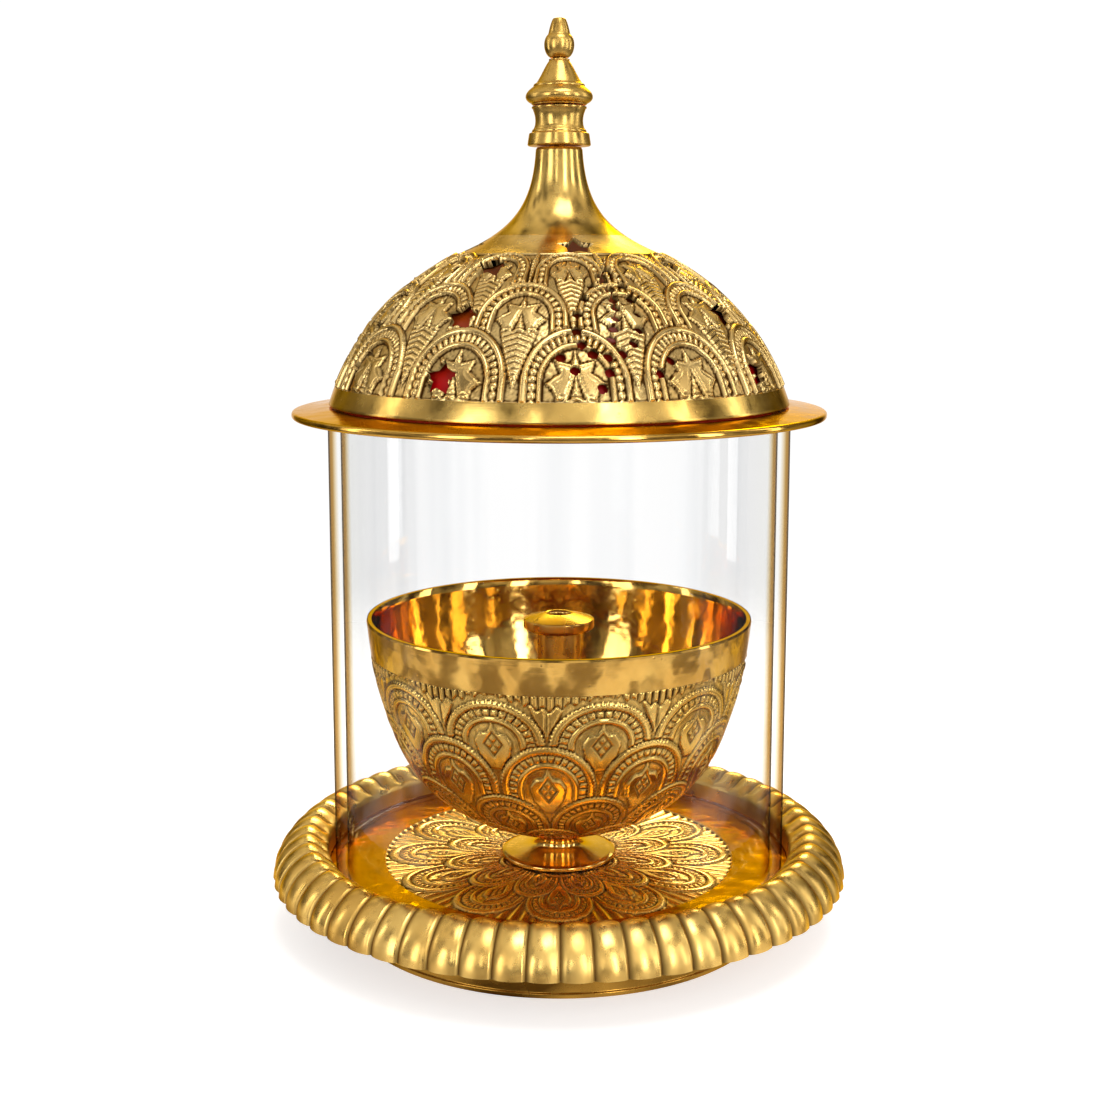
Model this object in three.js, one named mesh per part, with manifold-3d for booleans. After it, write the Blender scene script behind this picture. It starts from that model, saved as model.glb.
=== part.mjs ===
// Camphor burner: a covered brass oil lamp with a glass wind shield.
// A fluted tray carries a glass cylinder and a loose engraved oil bowl with a wick holder.
// A pierced dome lid with a turned finial stands on the glass.
// Millimetres, +Z up, origin at the centre of the foot ring on the table.

import * as THREE from "three";
import { mergeVertices } from "three/addons/utils/BufferGeometryUtils.js";
import Module from "manifold-3d";

const wasm = await Module();
wasm.setup();

// Running and seating clearances.
const seatGap = 0.3;
const wallPlay = 1.5;

// Glass wind shield. The tray and the lid are sized from its radius.
const glassRadius = 52.4;
const glassWall = 2.8;
const glassHeight = 104.7;

// Tray: foot ring, floor plate and fluted rim.
const footRingInset = 3.7;
const footRingRadius = glassRadius - footRingInset;
const footRingWall = 1.2;
const footRingHeight = 11.9;
const footBead = 0.3;
const footBeadHeight = 0.9;
const floorThickness = 1.2;
const trayWallThickness = 1.0;
const trayWallHeight = 5.2;
const rimWidth = 13.0;
const rimCrestRise = 2.1;
const rimDrop = 7.3;
const fluteCount = 60;
const fluteDepth = 0.75;

// Oil bowl and its turned foot.
const bowlRimRadius = 44.5;
const bowlHeight = 50.4;
const bowlWall = 1.5;
const bowlSeatRadius = 10.0;
const bowlFootRadius = 13.4;
const bowlFootHeight = 6.9;
const bowlFootNeckRadius = 4.7;
const bowlFootTopRadius = 8.4;
const bowlFootRecess = 1.2;

// Wick holder: weighted tube with a turned drip disc.
const wickTubeRadius = 4.95;
const wickTubeBore = 3.4;
const wickTubeLength = 44.6;
const wickBaseRadius = 8.5;
const wickBaseThickness = 1.6;
const feedHoleRadius = 1.5;
const wickDiscRadius = 8.2;
const wickDiscEdge = 1.9;
const wickDiscChamfer = 0.8;
const wickDiscCone = 1.4;
const wickHoleRadius = 2.5;
const wickSpigotDepth = 4.0;

// Lid plate and its locating ring.
const lidOverhang = 8.0;
const lidRadius = glassRadius + lidOverhang;
const lidThickness = 1.6;
const lidHoleInset = 6.4;
const lidHoleRadius = glassRadius - lidHoleInset;
const lidDroop = 0.9;
const locatingRingWidth = 2.7;
const locatingRingHeight = 1.3;
const locatingPlay = 0.7;

// Pierced dome with its drawn spire.
const domeInset = 0.3;
const domeRadius = glassRadius - domeInset;
const domeBulge = 2.4;
const domeSphereRadius = domeRadius + domeBulge;
const domeWall = 1.2;
const spireFootRadius = 22.6;
const spireFlare = 12.0;
const spirePull = 13.0;
const spireHeight = 23.4;
const spireNeckRadius = 5.2;

// Star piercings, in degrees: turns from the front, and angles above the equator of the dome's ball.
const starColumns = 4;
const starColumnTurn = 60;
const starTierAngles = [27, 42.5, 59];
const crownStarTurn = 11;
const crownStarAngle = 65;
const starRadius = 4.1;
const starWaist = 0.55;

// Finial stack, turned in three pieces on one stud.
const collarRadius = 7.1;
const collarDrum = 2.6;
const collarWaistRadius = 5.45;
const collarHeight = 8.6;
const collarTopRadius = 6.3;
const bellRadius = 7.55;
const bellHeight = 10.0;
const bellTopRadius = 2.4;
const budRadius = 3.2;
const budHeight = 8.6;
const budGrooveRadius = 2.3;
const studRadius = 1.2;
const studInBud = 4.0;
const studBelowCap = 4.5;
const nutAcrossCorners = 5.4;
const nutThickness = 2.4;
const boreGap = 0.3;

// Facet counts round the axis.
const wideSegments = 48;
const smallSegments = 28;
const stepsPerFlute = 3;

const brass = { color: 0xc9a24a, roughness: 0.25, metalness: 1.0 };
const paleBrass = { color: 0xd8bd74, roughness: 0.3, metalness: 1.0 };
const deepBrass = { color: 0xb8862e, roughness: 0.25, metalness: 1.0 };
const clearGlass = { color: 0xeaf2f2, roughness: 0.02, metalness: 0.0, transparent: true, opacity: 0.3 };

const burner = new THREE.Group();

function toRadians(degrees) {
  return (degrees * Math.PI) / 180;
}

// Adds one named sub-part with its own material to the assembly.
function addPart(name, geometry, finish) {
  const mesh = new THREE.Mesh(geometry, new THREE.MeshStandardMaterial(finish));
  mesh.name = name;
  burner.add(mesh);
  return mesh;
}

// Points given as [radius, height] pairs, turned about +Z into a closed body.
// The list runs counter-clockwise in the radius-height plane and is closed here
// unless it starts and ends on the axis.
function turned(points, segments) {
  const outline = points.map(([r, z]) => new THREE.Vector2(r, z));
  const onAxis = outline[0].x === 0 && outline[outline.length - 1].x === 0;
  if (!onAxis) {
    outline.push(outline[0].clone());
  }
  const geometry = new THREE.LatheGeometry(outline, segments);
  geometry.rotateX(Math.PI / 2);
  return geometry;
}

// Samples of a curve in the radius-height plane, as [radius, height] pairs.
function sampled(curve, steps) {
  return curve.getPoints(steps).map((p) => [p.x, p.y]);
}

// Turns a closed three.js geometry into a solid for joining and cutting.
function solidOf(geometry) {
  const bare = geometry.clone();
  bare.deleteAttribute("normal");
  bare.deleteAttribute("uv");
  const merged = mergeVertices(bare, 1e-4);
  const index = [];
  for (let i = 0; i < merged.index.count; i += 3) {
    const corners = [merged.index.getX(i), merged.index.getX(i + 1), merged.index.getX(i + 2)];
    if (corners[0] !== corners[1] && corners[1] !== corners[2] && corners[2] !== corners[0]) {
      index.push(...corners);
    }
  }
  const mesh = new wasm.Mesh({
    numProp: 3,
    vertProperties: new Float32Array(merged.attributes.position.array),
    triVerts: new Uint32Array(index),
  });
  return new wasm.Manifold(mesh);
}

function geometryOf(solid) {
  const mesh = solid.getMesh();
  const geometry = new THREE.BufferGeometry();
  geometry.setAttribute("position", new THREE.BufferAttribute(mesh.vertProperties, 3));
  geometry.setIndex(new THREE.BufferAttribute(mesh.triVerts, 1));
  return geometry;
}

// Shifts an open line of [radius, height] points sideways by a wall thickness.
// Positive distances move it to the right of its running direction.
function offsetLine(points, distance) {
  return points.map(([r, z], i) => {
    const before = points[Math.max(i - 1, 0)];
    const after = points[Math.min(i + 1, points.length - 1)];
    const along = new THREE.Vector2(after[0] - before[0], after[1] - before[1]).normalize();
    return [r + along.y * distance, z - along.x * distance];
  });
}

// Thins a line to every second point, keeping both ends.
function everySecond(points) {
  return points.filter((point, i) => i % 2 === 0 || i === points.length - 1);
}

// Heights that the tray sets for everything standing in it.
const floorTop = footRingHeight + seatGap + floorThickness;
const onFloor = floorTop + seatGap;
const trayWallRadius = glassRadius + wallPlay;

function footRing() {
  const inner = footRingRadius - footRingWall;
  const outline = [
    [inner, 0],
    [footRingRadius + footBead, 0],
    [footRingRadius + footBead, footBeadHeight],
    [footRingRadius, footBeadHeight + footBead],
    [footRingRadius, footRingHeight],
    [inner, footRingHeight],
  ];
  return turned(outline, wideSegments);
}

function floorPlate() {
  const radius = trayWallRadius + trayWallThickness + seatGap;
  const bottom = footRingHeight + seatGap;
  const outline = [
    [0, bottom],
    [radius, bottom],
    [radius, floorTop],
    [0, floorTop],
  ];
  return turned(outline, wideSegments);
}

// The rim's upper line: up the tray wall, over the crest and down to the lip.
// Each entry also says how much of the flute depth shows there.
function rimLine() {
  const inner = trayWallRadius;
  const edge = onFloor + trayWallHeight;
  const crest = edge + rimCrestRise;
  const lip = edge - rimDrop;
  return [
    [inner, onFloor, 0],
    [inner + 0.05 * rimWidth, edge - 0.35 * trayWallHeight, 0],
    [inner + 0.1 * rimWidth, edge, 0.7],
    [inner + 0.39 * rimWidth, crest, 1],
    [inner + 0.62 * rimWidth, crest - 0.13 * (crest - lip), 1],
    [inner + 0.82 * rimWidth, crest - 0.38 * (crest - lip), 1],
    [inner + 0.97 * rimWidth, crest - 0.75 * (crest - lip), 1],
    [inner + rimWidth, lip, 1],
  ];
}

// A ring swept round the axis whose section swells into convex lobes between narrow grooves.
function flutedRim() {
  const line = rimLine();
  const upper = line.map(([r, z]) => [r, z]);
  const lower = offsetLine(upper, trayWallThickness);
  lower[0][1] = upper[0][1];
  lower[line.length - 1][1] = upper[line.length - 1][1];
  const top = [];
  const under = [];
  line.forEach(([r, z, share], i) => {
    const normal = new THREE.Vector2(r - lower[i][0], z - lower[i][1]).normalize();
    const lean = { nr: normal.x, nz: normal.y, share };
    top.push({ r, z, ...lean });
    under.push({ r: lower[i][0], z: lower[i][1], ...lean });
  });
  const section = [...top, ...everySecond(under).reverse()];

  const around = fluteCount * stepsPerFlute;
  const positions = [];
  for (let k = 0; k < around; k += 1) {
    const angle = (2 * Math.PI * k) / around;
    const depth = k % stepsPerFlute === 0 ? fluteDepth : 0;
    section.forEach((s) => {
      const r = s.r - s.nr * depth * s.share;
      const z = s.z - s.nz * depth * s.share;
      positions.push(r * Math.cos(angle), r * Math.sin(angle), z);
    });
  }
  const count = section.length;
  const index = [];
  for (let k = 0; k < around; k += 1) {
    const next = (k + 1) % around;
    for (let i = 0; i < count; i += 1) {
      const j = (i + 1) % count;
      const a = k * count + i;
      const b = k * count + j;
      const c = next * count + j;
      const d = next * count + i;
      index.push(a, c, d, a, b, c);
    }
  }
  const geometry = new THREE.BufferGeometry();
  geometry.setAttribute("position", new THREE.Float32BufferAttribute(positions, 3));
  geometry.setIndex(index);
  return geometry;
}

function glassTube() {
  const inner = glassRadius - glassWall;
  const top = onFloor + glassHeight;
  const outline = [
    [inner, onFloor],
    [glassRadius, onFloor],
    [glassRadius, top],
    [inner, top],
  ];
  return turned(outline, wideSegments);
}

// Turned foot: flat base, hollowed under, flaring in to a neck and out again under the bowl.
function bowlFoot() {
  const top = onFloor + bowlFootHeight;
  const neck = onFloor + 0.56 * bowlFootHeight;
  const flare = new THREE.QuadraticBezierCurve(
    new THREE.Vector2(bowlFootRadius, onFloor + 0.9),
    new THREE.Vector2(bowlFootNeckRadius + 1.2, onFloor + 1.6),
    new THREE.Vector2(bowlFootNeckRadius, neck),
  );
  const crown = new THREE.QuadraticBezierCurve(
    new THREE.Vector2(bowlFootNeckRadius, neck),
    new THREE.Vector2(bowlFootNeckRadius + 0.4, neck + 0.6 * (top - neck)),
    new THREE.Vector2(bowlFootTopRadius, top - 0.35),
  );
  const outline = [
    [0, onFloor + bowlFootRecess],
    [bowlFootRadius - 3.2, onFloor + bowlFootRecess],
    [bowlFootRadius - 2.4, onFloor],
    [bowlFootRadius, onFloor],
    ...sampled(flare, 5),
    ...sampled(crown, 3).slice(1),
    [bowlFootTopRadius, top],
    [0, top],
  ];
  return turned(outline, smallSegments);
}

const bowlBottom = onFloor + bowlFootHeight + seatGap;
const bowlFloor = bowlBottom + bowlWall;

// Outer line of the bowl from its seat on the foot up to the rim.
function bowlLine() {
  const widths = [0.4, 0.62, 0.775, 0.89, 0.96];
  const heights = [0.055, 0.165, 0.31, 0.53, 0.75];
  const points = widths.map((w, i) => {
    return new THREE.Vector2(w * bowlRimRadius, bowlBottom + heights[i] * bowlHeight);
  });
  points.unshift(new THREE.Vector2(bowlSeatRadius, bowlBottom));
  points.push(new THREE.Vector2(bowlRimRadius, bowlBottom + bowlHeight));
  return sampled(new THREE.SplineCurve(points), 9);
}

function oilBowl() {
  const outer = bowlLine();
  const inner = offsetLine(outer, -bowlWall);
  inner[0] = [bowlSeatRadius, bowlFloor];
  inner[inner.length - 1][1] = outer[outer.length - 1][1];
  const outline = [[0, bowlBottom], ...outer, ...everySecond(inner).reverse(), [0, bowlFloor]];
  return turned(outline, wideSegments);
}

const wickFoot = bowlFloor + seatGap;
const wickTop = wickFoot + wickTubeLength;

// Tube on a weighted foot disc, cross-drilled low down so that oil reaches the wick.
function wickTube() {
  const baseTop = wickFoot + wickBaseThickness;
  const outline = [
    [wickTubeBore, wickFoot],
    [wickBaseRadius, wickFoot],
    [wickBaseRadius, baseTop],
    [wickTubeRadius, baseTop],
    [wickTubeRadius, wickTop],
    [wickTubeBore, wickTop],
  ];
  const drill = new THREE.CylinderGeometry(feedHoleRadius, feedHoleRadius, 3 * wickTubeRadius, 10);
  drill.translate(0, 0, baseTop + 2 * feedHoleRadius);
  return geometryOf(solidOf(turned(outline, smallSegments)).subtract(solidOf(drill)));
}

// Drip disc: shallow cone on top, a spigot below that plugs the tube, and the wick hole through both.
function wickDisc() {
  const under = wickTop + seatGap;
  const edgeLow = under + wickDiscChamfer;
  const edgeTop = edgeLow + wickDiscEdge;
  const spigot = wickTubeBore - boreGap;
  const outline = [
    [wickHoleRadius, under - wickSpigotDepth],
    [spigot, under - wickSpigotDepth],
    [spigot, under],
    [wickDiscRadius - 1.3 * wickDiscChamfer, under],
    [wickDiscRadius, edgeLow],
    [wickDiscRadius, edgeTop],
    [wickHoleRadius + 0.6, edgeTop + wickDiscCone],
    [wickHoleRadius, edgeTop + wickDiscCone - 0.4],
  ];
  return turned(outline, smallSegments);
}

const glassTop = onFloor + glassHeight;
const lidUnder = glassTop + seatGap;
const lidTop = lidUnder + lidThickness;

function lidPlate() {
  const flat = domeRadius + 0.4;
  const edge = 0.5 * lidThickness;
  const outline = [
    [lidHoleRadius, lidUnder],
    [glassRadius + 0.6, lidUnder],
    [lidRadius - edge, lidUnder - lidDroop],
    [lidRadius - 0.25 * edge, lidUnder - lidDroop + 0.4 * edge],
    [lidRadius, lidUnder - lidDroop + edge],
    [lidRadius - 0.25 * edge, lidUnder - lidDroop + 1.6 * edge],
    [lidRadius - edge, lidTop - lidDroop],
    [flat, lidTop],
    [lidHoleRadius, lidTop],
  ];
  return turned(outline, wideSegments);
}

// Shallow ring under the plate that keeps the lid centred in the glass.
function locatingRing() {
  const outer = glassRadius - glassWall - locatingPlay;
  const top = lidUnder - seatGap;
  const outline = [
    [outer - locatingRingWidth, top - locatingRingHeight],
    [outer - 0.4, top - locatingRingHeight],
    [outer, top - locatingRingHeight + 0.4],
    [outer, top],
    [outer - locatingRingWidth, top],
  ];
  return turned(outline, wideSegments);
}

const domeBottom = lidTop + seatGap;
const sphereDrop = Math.sqrt(domeSphereRadius ** 2 - domeRadius ** 2);
const sphereCentre = domeBottom - sphereDrop;
const spireFoot = sphereCentre + Math.sqrt(domeSphereRadius ** 2 - spireFootRadius ** 2);
const domeTop = spireFoot + spireHeight;

// Outer line of the dome: round band, ball arc and drawn spire.
function domeLine() {
  const start = Math.asin(sphereDrop / domeSphereRadius);
  const end = Math.acos(spireFootRadius / domeSphereRadius);
  const arcSteps = 7;
  const arc = [];
  for (let i = 0; i <= arcSteps; i += 1) {
    const angle = start + ((end - start) * i) / arcSteps;
    arc.push([domeSphereRadius * Math.cos(angle), sphereCentre + domeSphereRadius * Math.sin(angle)]);
  }
  const flareRise = 0.42 * spireFlare;
  const spire = new THREE.CubicBezierCurve(
    new THREE.Vector2(spireFootRadius, spireFoot),
    new THREE.Vector2(spireFootRadius - spireFlare, spireFoot + flareRise),
    new THREE.Vector2(spireNeckRadius + 0.06 * spirePull, domeTop - spirePull),
    new THREE.Vector2(spireNeckRadius, domeTop),
  );
  return [...arc, ...sampled(spire, 7).slice(1)];
}

// Five-pointed star prism, its axis along +Z.
function starPrism(radius, depth) {
  const shape = new THREE.Shape();
  for (let i = 0; i < 10; i += 1) {
    const reach = i % 2 === 0 ? radius : radius * starWaist;
    const angle = (Math.PI * i) / 5;
    const x = reach * Math.cos(angle);
    const y = reach * Math.sin(angle);
    if (i === 0) {
      shape.moveTo(x, y);
    } else {
      shape.lineTo(x, y);
    }
  }
  shape.closePath();
  const prism = new THREE.ExtrudeGeometry(shape, { depth, bevelEnabled: false });
  prism.translate(0, 0, -0.5 * depth);
  return prism;
}

// Moves a cutter to the dome wall at a turn round the axis (from the front, to the right)
// and an angle above the ball's equator, and aims it along the wall's normal.
function onDome(geometry, turnDegrees, riseDegrees) {
  const rise = toRadians(riseDegrees);
  geometry.rotateY(Math.PI / 2 - rise);
  const reach = domeSphereRadius * Math.cos(rise);
  const height = sphereCentre + domeSphereRadius * Math.sin(rise);
  geometry.translate(reach, 0, height);
  geometry.rotateZ(toRadians(turnDegrees - 90));
  return geometry;
}

function piercedDome() {
  const outer = domeLine();
  const inner = offsetLine(outer, -domeWall);
  inner[0] = [domeRadius - domeWall, domeBottom];
  inner[inner.length - 1] = [spireNeckRadius - domeWall, domeTop - domeWall];
  const capBore = studRadius + boreGap;
  const outline = [
    ...outer,
    [capBore, domeTop],
    [capBore, domeTop - domeWall],
    ...everySecond(inner).reverse(),
  ];
  let solid = solidOf(turned(outline, wideSegments));
  for (let k = 0; k < starColumns; k += 1) {
    const turn = (360 * k) / starColumns;
    starTierAngles.forEach((rise) => {
      const star = onDome(starPrism(starRadius, 6 * domeWall), turn + starColumnTurn, rise);
      solid = solid.subtract(solidOf(star));
    });
    const crown = onDome(starPrism(starRadius, 6 * domeWall), turn + crownStarTurn, crownStarAngle);
    solid = solid.subtract(solidOf(crown));
  }
  return geometryOf(solid);
}

const collarBottom = domeTop + seatGap;
const bellBottom = collarBottom + collarHeight + seatGap;
const budBottom = bellBottom + bellHeight + seatGap;
const finialBore = studRadius + boreGap;

function finialCollar() {
  const top = collarBottom + collarHeight;
  const drumTop = collarBottom + collarDrum;
  const waist = collarBottom + 0.66 * collarHeight;
  const outline = [
    [finialBore, collarBottom],
    [collarRadius - 0.4, collarBottom],
    [collarRadius, collarBottom + 0.5],
    [collarRadius - 0.3, drumTop],
    [collarWaistRadius + 0.7, drumTop + 1.0],
    [collarWaistRadius, waist - 0.6],
    [collarWaistRadius, waist + 0.8],
    [collarTopRadius, top - 0.4],
    [collarTopRadius, top],
    [finialBore, top],
  ];
  return turned(outline, smallSegments);
}

function finialBell() {
  const top = bellBottom + bellHeight;
  const shoulder = new THREE.CubicBezierCurve(
    new THREE.Vector2(bellRadius, bellBottom + 1.3),
    new THREE.Vector2(bellRadius - 0.6, bellBottom + 0.36 * bellHeight),
    new THREE.Vector2(0.5 * bellRadius, bellBottom + 0.6 * bellHeight),
    new THREE.Vector2(bellTopRadius, top),
  );
  const outline = [
    [finialBore, bellBottom],
    [bellRadius - 0.7, bellBottom],
    ...sampled(shoulder, 6),
    [finialBore, top],
  ];
  return turned(outline, smallSegments);
}

function finialBud() {
  const step = budBottom + 0.53 * budHeight;
  const boreTop = budBottom + studInBud + boreGap;
  const outline = [
    [finialBore, budBottom],
    [budGrooveRadius, budBottom],
    [budRadius - 0.25, budBottom + 0.19 * budHeight],
    [budRadius, budBottom + 0.35 * budHeight],
    [budRadius - 0.25, step - 0.3],
    [0.72 * budRadius, step + 0.2],
    [0.66 * budRadius, budBottom + 0.8 * budHeight],
    [0.36 * budRadius, budBottom + 0.97 * budHeight],
    [0, budBottom + budHeight],
  ];
  const closed = [[0, boreTop], [finialBore, boreTop], ...outline];
  return turned(closed, smallSegments);
}

function finialStud() {
  const bottom = domeTop - domeWall - studBelowCap;
  const top = budBottom + studInBud;
  const outline = [
    [0, bottom],
    [studRadius, bottom],
    [studRadius, top],
    [0, top],
  ];
  return turned(outline, 16);
}

// Hexagonal nut inside the spire, under the cap of the dome.
function finialNut() {
  const shape = new THREE.Shape();
  for (let i = 0; i < 6; i += 1) {
    const angle = (Math.PI * i) / 3;
    const x = 0.5 * nutAcrossCorners * Math.cos(angle);
    const y = 0.5 * nutAcrossCorners * Math.sin(angle);
    if (i === 0) {
      shape.moveTo(x, y);
    } else {
      shape.lineTo(x, y);
    }
  }
  shape.closePath();
  const hole = new THREE.Path();
  hole.absarc(0, 0, finialBore, 0, 2 * Math.PI, true);
  shape.holes.push(hole);
  const bar = { depth: nutThickness, bevelEnabled: false, curveSegments: 8 };
  const nut = new THREE.ExtrudeGeometry(shape, bar);
  nut.translate(0, 0, domeTop - domeWall - seatGap - nutThickness);
  return nut;
}

addPart("foot_ring", footRing(), brass);
addPart("tray_floor", floorPlate(), deepBrass);
addPart("fluted_rim", flutedRim(), brass);
addPart("glass_chimney", glassTube(), clearGlass);
addPart("bowl_foot", bowlFoot(), deepBrass);
addPart("oil_bowl", oilBowl(), deepBrass);
addPart("wick_tube", wickTube(), deepBrass);
addPart("wick_disc", wickDisc(), brass);
addPart("lid_plate", lidPlate(), brass);
addPart("locating_ring", locatingRing(), brass);
addPart("pierced_dome", piercedDome(), paleBrass);
addPart("finial_collar", finialCollar(), paleBrass);
addPart("finial_bell", finialBell(), paleBrass);
addPart("finial_bud", finialBud(), paleBrass);
addPart("finial_stud", finialStud(), brass);
addPart("finial_nut", finialNut(), brass);

export default burner;
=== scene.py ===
import math

import bpy
import numpy as np
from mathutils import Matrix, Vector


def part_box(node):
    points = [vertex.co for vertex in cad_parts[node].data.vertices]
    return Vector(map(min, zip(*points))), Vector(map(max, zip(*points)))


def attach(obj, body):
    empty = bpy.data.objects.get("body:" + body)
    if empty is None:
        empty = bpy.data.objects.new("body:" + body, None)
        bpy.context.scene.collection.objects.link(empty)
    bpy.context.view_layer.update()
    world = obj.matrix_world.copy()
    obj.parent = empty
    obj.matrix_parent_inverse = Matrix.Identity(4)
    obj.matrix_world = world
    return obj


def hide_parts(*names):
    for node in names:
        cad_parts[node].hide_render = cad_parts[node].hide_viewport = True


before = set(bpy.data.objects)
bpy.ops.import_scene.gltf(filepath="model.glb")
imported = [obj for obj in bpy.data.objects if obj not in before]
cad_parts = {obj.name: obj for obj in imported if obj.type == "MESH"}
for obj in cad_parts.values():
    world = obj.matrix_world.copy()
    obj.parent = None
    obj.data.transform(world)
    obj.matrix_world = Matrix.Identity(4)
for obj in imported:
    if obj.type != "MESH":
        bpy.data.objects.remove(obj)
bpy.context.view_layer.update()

# A covered brass lamp. Shapes are worked out in millimetres, with +Z up and the front at -Y,
# and turned to metres when a mesh is made.
MM = 0.001
FULL_TURN = 360.0


def bottom(node_name):
    """Height of a CAD node's lowest point, in millimetres."""
    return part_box(node_name)[0].z / MM


def top(node_name):
    """Height of a CAD node's highest point, in millimetres."""
    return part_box(node_name)[1].z / MM


def reach(node_name):
    """Largest radius of a CAD node that is round about +Z, in millimetres."""
    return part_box(node_name)[1].x / MM


# Camera, at the photograph's angle. The photograph's side and the frame's drop are in its pixels.
CAMERA_PLACE = (-2.05, -370.4, 153.1)
CAMERA_TILT = 81.9
LENS_MM = 53.25
SENSOR_MM = 36.0
PHOTO_SIDE = 1100
FRAME_DROP = 60


def photo_camera():
    """The camera looks down by eight degrees from 370 mm away. Its frame is dropped by a share of the
    photograph's side."""
    data = bpy.data.cameras.new("photo_camera")
    data.sensor_width = SENSOR_MM
    data.lens = LENS_MM
    data.shift_y = -FRAME_DROP / PHOTO_SIDE
    data.clip_start = 10 * MM
    camera = bpy.data.objects.new("photo_camera", data)
    camera.location = [c * MM for c in CAMERA_PLACE]
    camera.rotation_euler = (math.radians(CAMERA_TILT), 0.0, 0.0)
    bpy.context.scene.collection.objects.link(camera)
    bpy.context.scene.camera = camera


photo_camera()


# Materials

def linear(hex_colour):
    """Linear RGBA of an sRGB hex value."""
    parts = [int(hex_colour[i:i + 2], 16) / 255 for i in (1, 3, 5)]
    return [c / 12.92 if c <= 0.04045 else ((c + 0.055) / 1.055) ** 2.4 for c in parts] + [1.0]


def node(tree, kind, inputs=None, **settings):
    """Adds a node with its settings. inputs maps a socket to a value or to the output that feeds it."""
    made = tree.nodes.new(kind)
    for name, value in settings.items():
        setattr(made, name, value)
    for socket, value in (inputs or {}).items():
        if isinstance(value, bpy.types.NodeSocket):
            tree.links.new(value, made.inputs[socket])
        else:
            made.inputs[socket].default_value = value
    return made


def new_material(name):
    """An empty node material, and its tree."""
    material = bpy.data.materials.new(name)
    material.use_nodes = True
    material.node_tree.nodes.clear()
    return material, material.node_tree


# Sockets of a Mix node that mixes colours, by number because their names are shared.
FACTOR, FIRST, SECOND, MIXED = 0, 6, 7, 2

# Dirt in the hollows of chased brass together with painted shade laid on the same way, and the tint of brass
# seen at a slant, which keeps it golden.
GRIME_AND_SHADE = "#3A2208"
SLANT_TINT = "#EBC272"


def brass_marks(tree, place, tool_lines, waver, pits):
    """The small relief of worked brass, as a normal. Lathe lines are noise over the distance from the
    axis and the height, so that they run round it. The ripple of buffing is noise over the place. The
    pits are small round dips at the centres of cells. Lines are 0.3 mm apart, coarser than a tool
    leaves, so that they show."""
    split = node(tree, "ShaderNodeSeparateXYZ", {"Vector": place})
    flat = node(tree, "ShaderNodeCombineXYZ", {"X": split.outputs["X"], "Y": split.outputs["Y"]})
    from_axis = node(tree, "ShaderNodeVectorMath", {0: flat.outputs[0]}, operation="LENGTH")
    turning = node(tree, "ShaderNodeCombineXYZ", {"X": from_axis.outputs["Value"], "Z": split.outputs["Z"]})
    lines = node(tree, "ShaderNodeTexNoise", {
        "Vector": turning.outputs[0], "Scale": 1 / (0.3 * MM), "Detail": 2.0})
    normal = node(tree, "ShaderNodeBump", {
        "Height": lines.outputs["Fac"], "Strength": 1.0, "Distance": tool_lines * MM})
    if waver:
        ripple = node(tree, "ShaderNodeTexNoise", {"Vector": place, "Scale": 1 / (7 * MM), "Detail": 2.0})
        normal = node(tree, "ShaderNodeBump", {
            "Height": ripple.outputs["Fac"], "Strength": 1.0, "Distance": waver * MM,
            "Normal": normal.outputs[0]})
    if pits:
        spots = node(tree, "ShaderNodeTexVoronoi", {"Vector": place, "Scale": 1 / (3.2 * MM)})
        dent = node(tree, "ShaderNodeMapRange", {
            "Value": spots.outputs["Distance"], "From Min": 0.03, "From Max": 0.09})
        normal = node(tree, "ShaderNodeBump", {
            "Height": dent.outputs[0], "Strength": 1.0, "Distance": pits * MM, "Normal": normal.outputs[0]})
    return normal.outputs[0]


def brass(name, face, shade, roughness, tool_lines=0.0, waver=0.0, pits=0.0, chased=False):
    """Brass: face is its clean colour and shade the browner colour where polish wore off.
    tool_lines, waver and pits are the heights in millimetres of lathe lines that run round +Z, of the slow
    ripple that buffing leaves, and of casting pits. Chased brass is darkened by a per-point attribute of the
    piece: dirt in its hollows together with painted shade, in hollows and on sides that little light
    reaches."""
    material, tree = new_material(name)
    place = node(tree, "ShaderNodeTexCoord").outputs["Object"]
    clouds = node(tree, "ShaderNodeTexNoise", {"Vector": place, "Scale": 1 / (13 * MM), "Detail": 5.0})
    worn = node(tree, "ShaderNodeMapRange", {
        "Value": clouds.outputs["Fac"], "From Min": 0.42, "From Max": 0.68, "To Min": 0.0, "To Max": 0.55})
    colour = node(tree, "ShaderNodeMix", {
        FACTOR: worn.outputs[0], FIRST: linear(face), SECOND: linear(shade)}, data_type="RGBA")
    smears = node(tree, "ShaderNodeTexNoise", {"Vector": place, "Scale": 1 / (4 * MM), "Detail": 6.0})
    haze = node(tree, "ShaderNodeMapRange", {
        "Value": smears.outputs["Fac"], "From Min": 0.35, "From Max": 0.75,
        "To Min": roughness * 0.75, "To Max": roughness * 1.5})
    shade_out, rough_out = colour.outputs[MIXED], haze.outputs[0]

    if chased:
        # Darkening by the piece's attribute: dirt in hollows together with painted shade.
        grime_and_shade = node(tree, "ShaderNodeAttribute", attribute_name="grime_and_shade").outputs["Fac"]
        grime_and_shade_mix = node(tree, "ShaderNodeMix", {
            FACTOR: grime_and_shade, FIRST: shade_out, SECOND: linear(GRIME_AND_SHADE)}, data_type="RGBA")
        shade_out = grime_and_shade_mix.outputs[MIXED]
        rough_out = node(tree, "ShaderNodeMath", {
            0: grime_and_shade, 1: 0.35, 2: rough_out}, operation="MULTIPLY_ADD").outputs[0]
    normal = brass_marks(tree, place, tool_lines, waver, pits)
    metal = node(tree, "ShaderNodeBsdfPrincipled", {
        "Base Color": shade_out, "Metallic": 1.0, "Roughness": rough_out, "Normal": normal,
        "Specular Tint": linear(SLANT_TINT)})
    node(tree, "ShaderNodeOutputMaterial", {"Surface": metal.outputs[0]})
    return material
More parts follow.
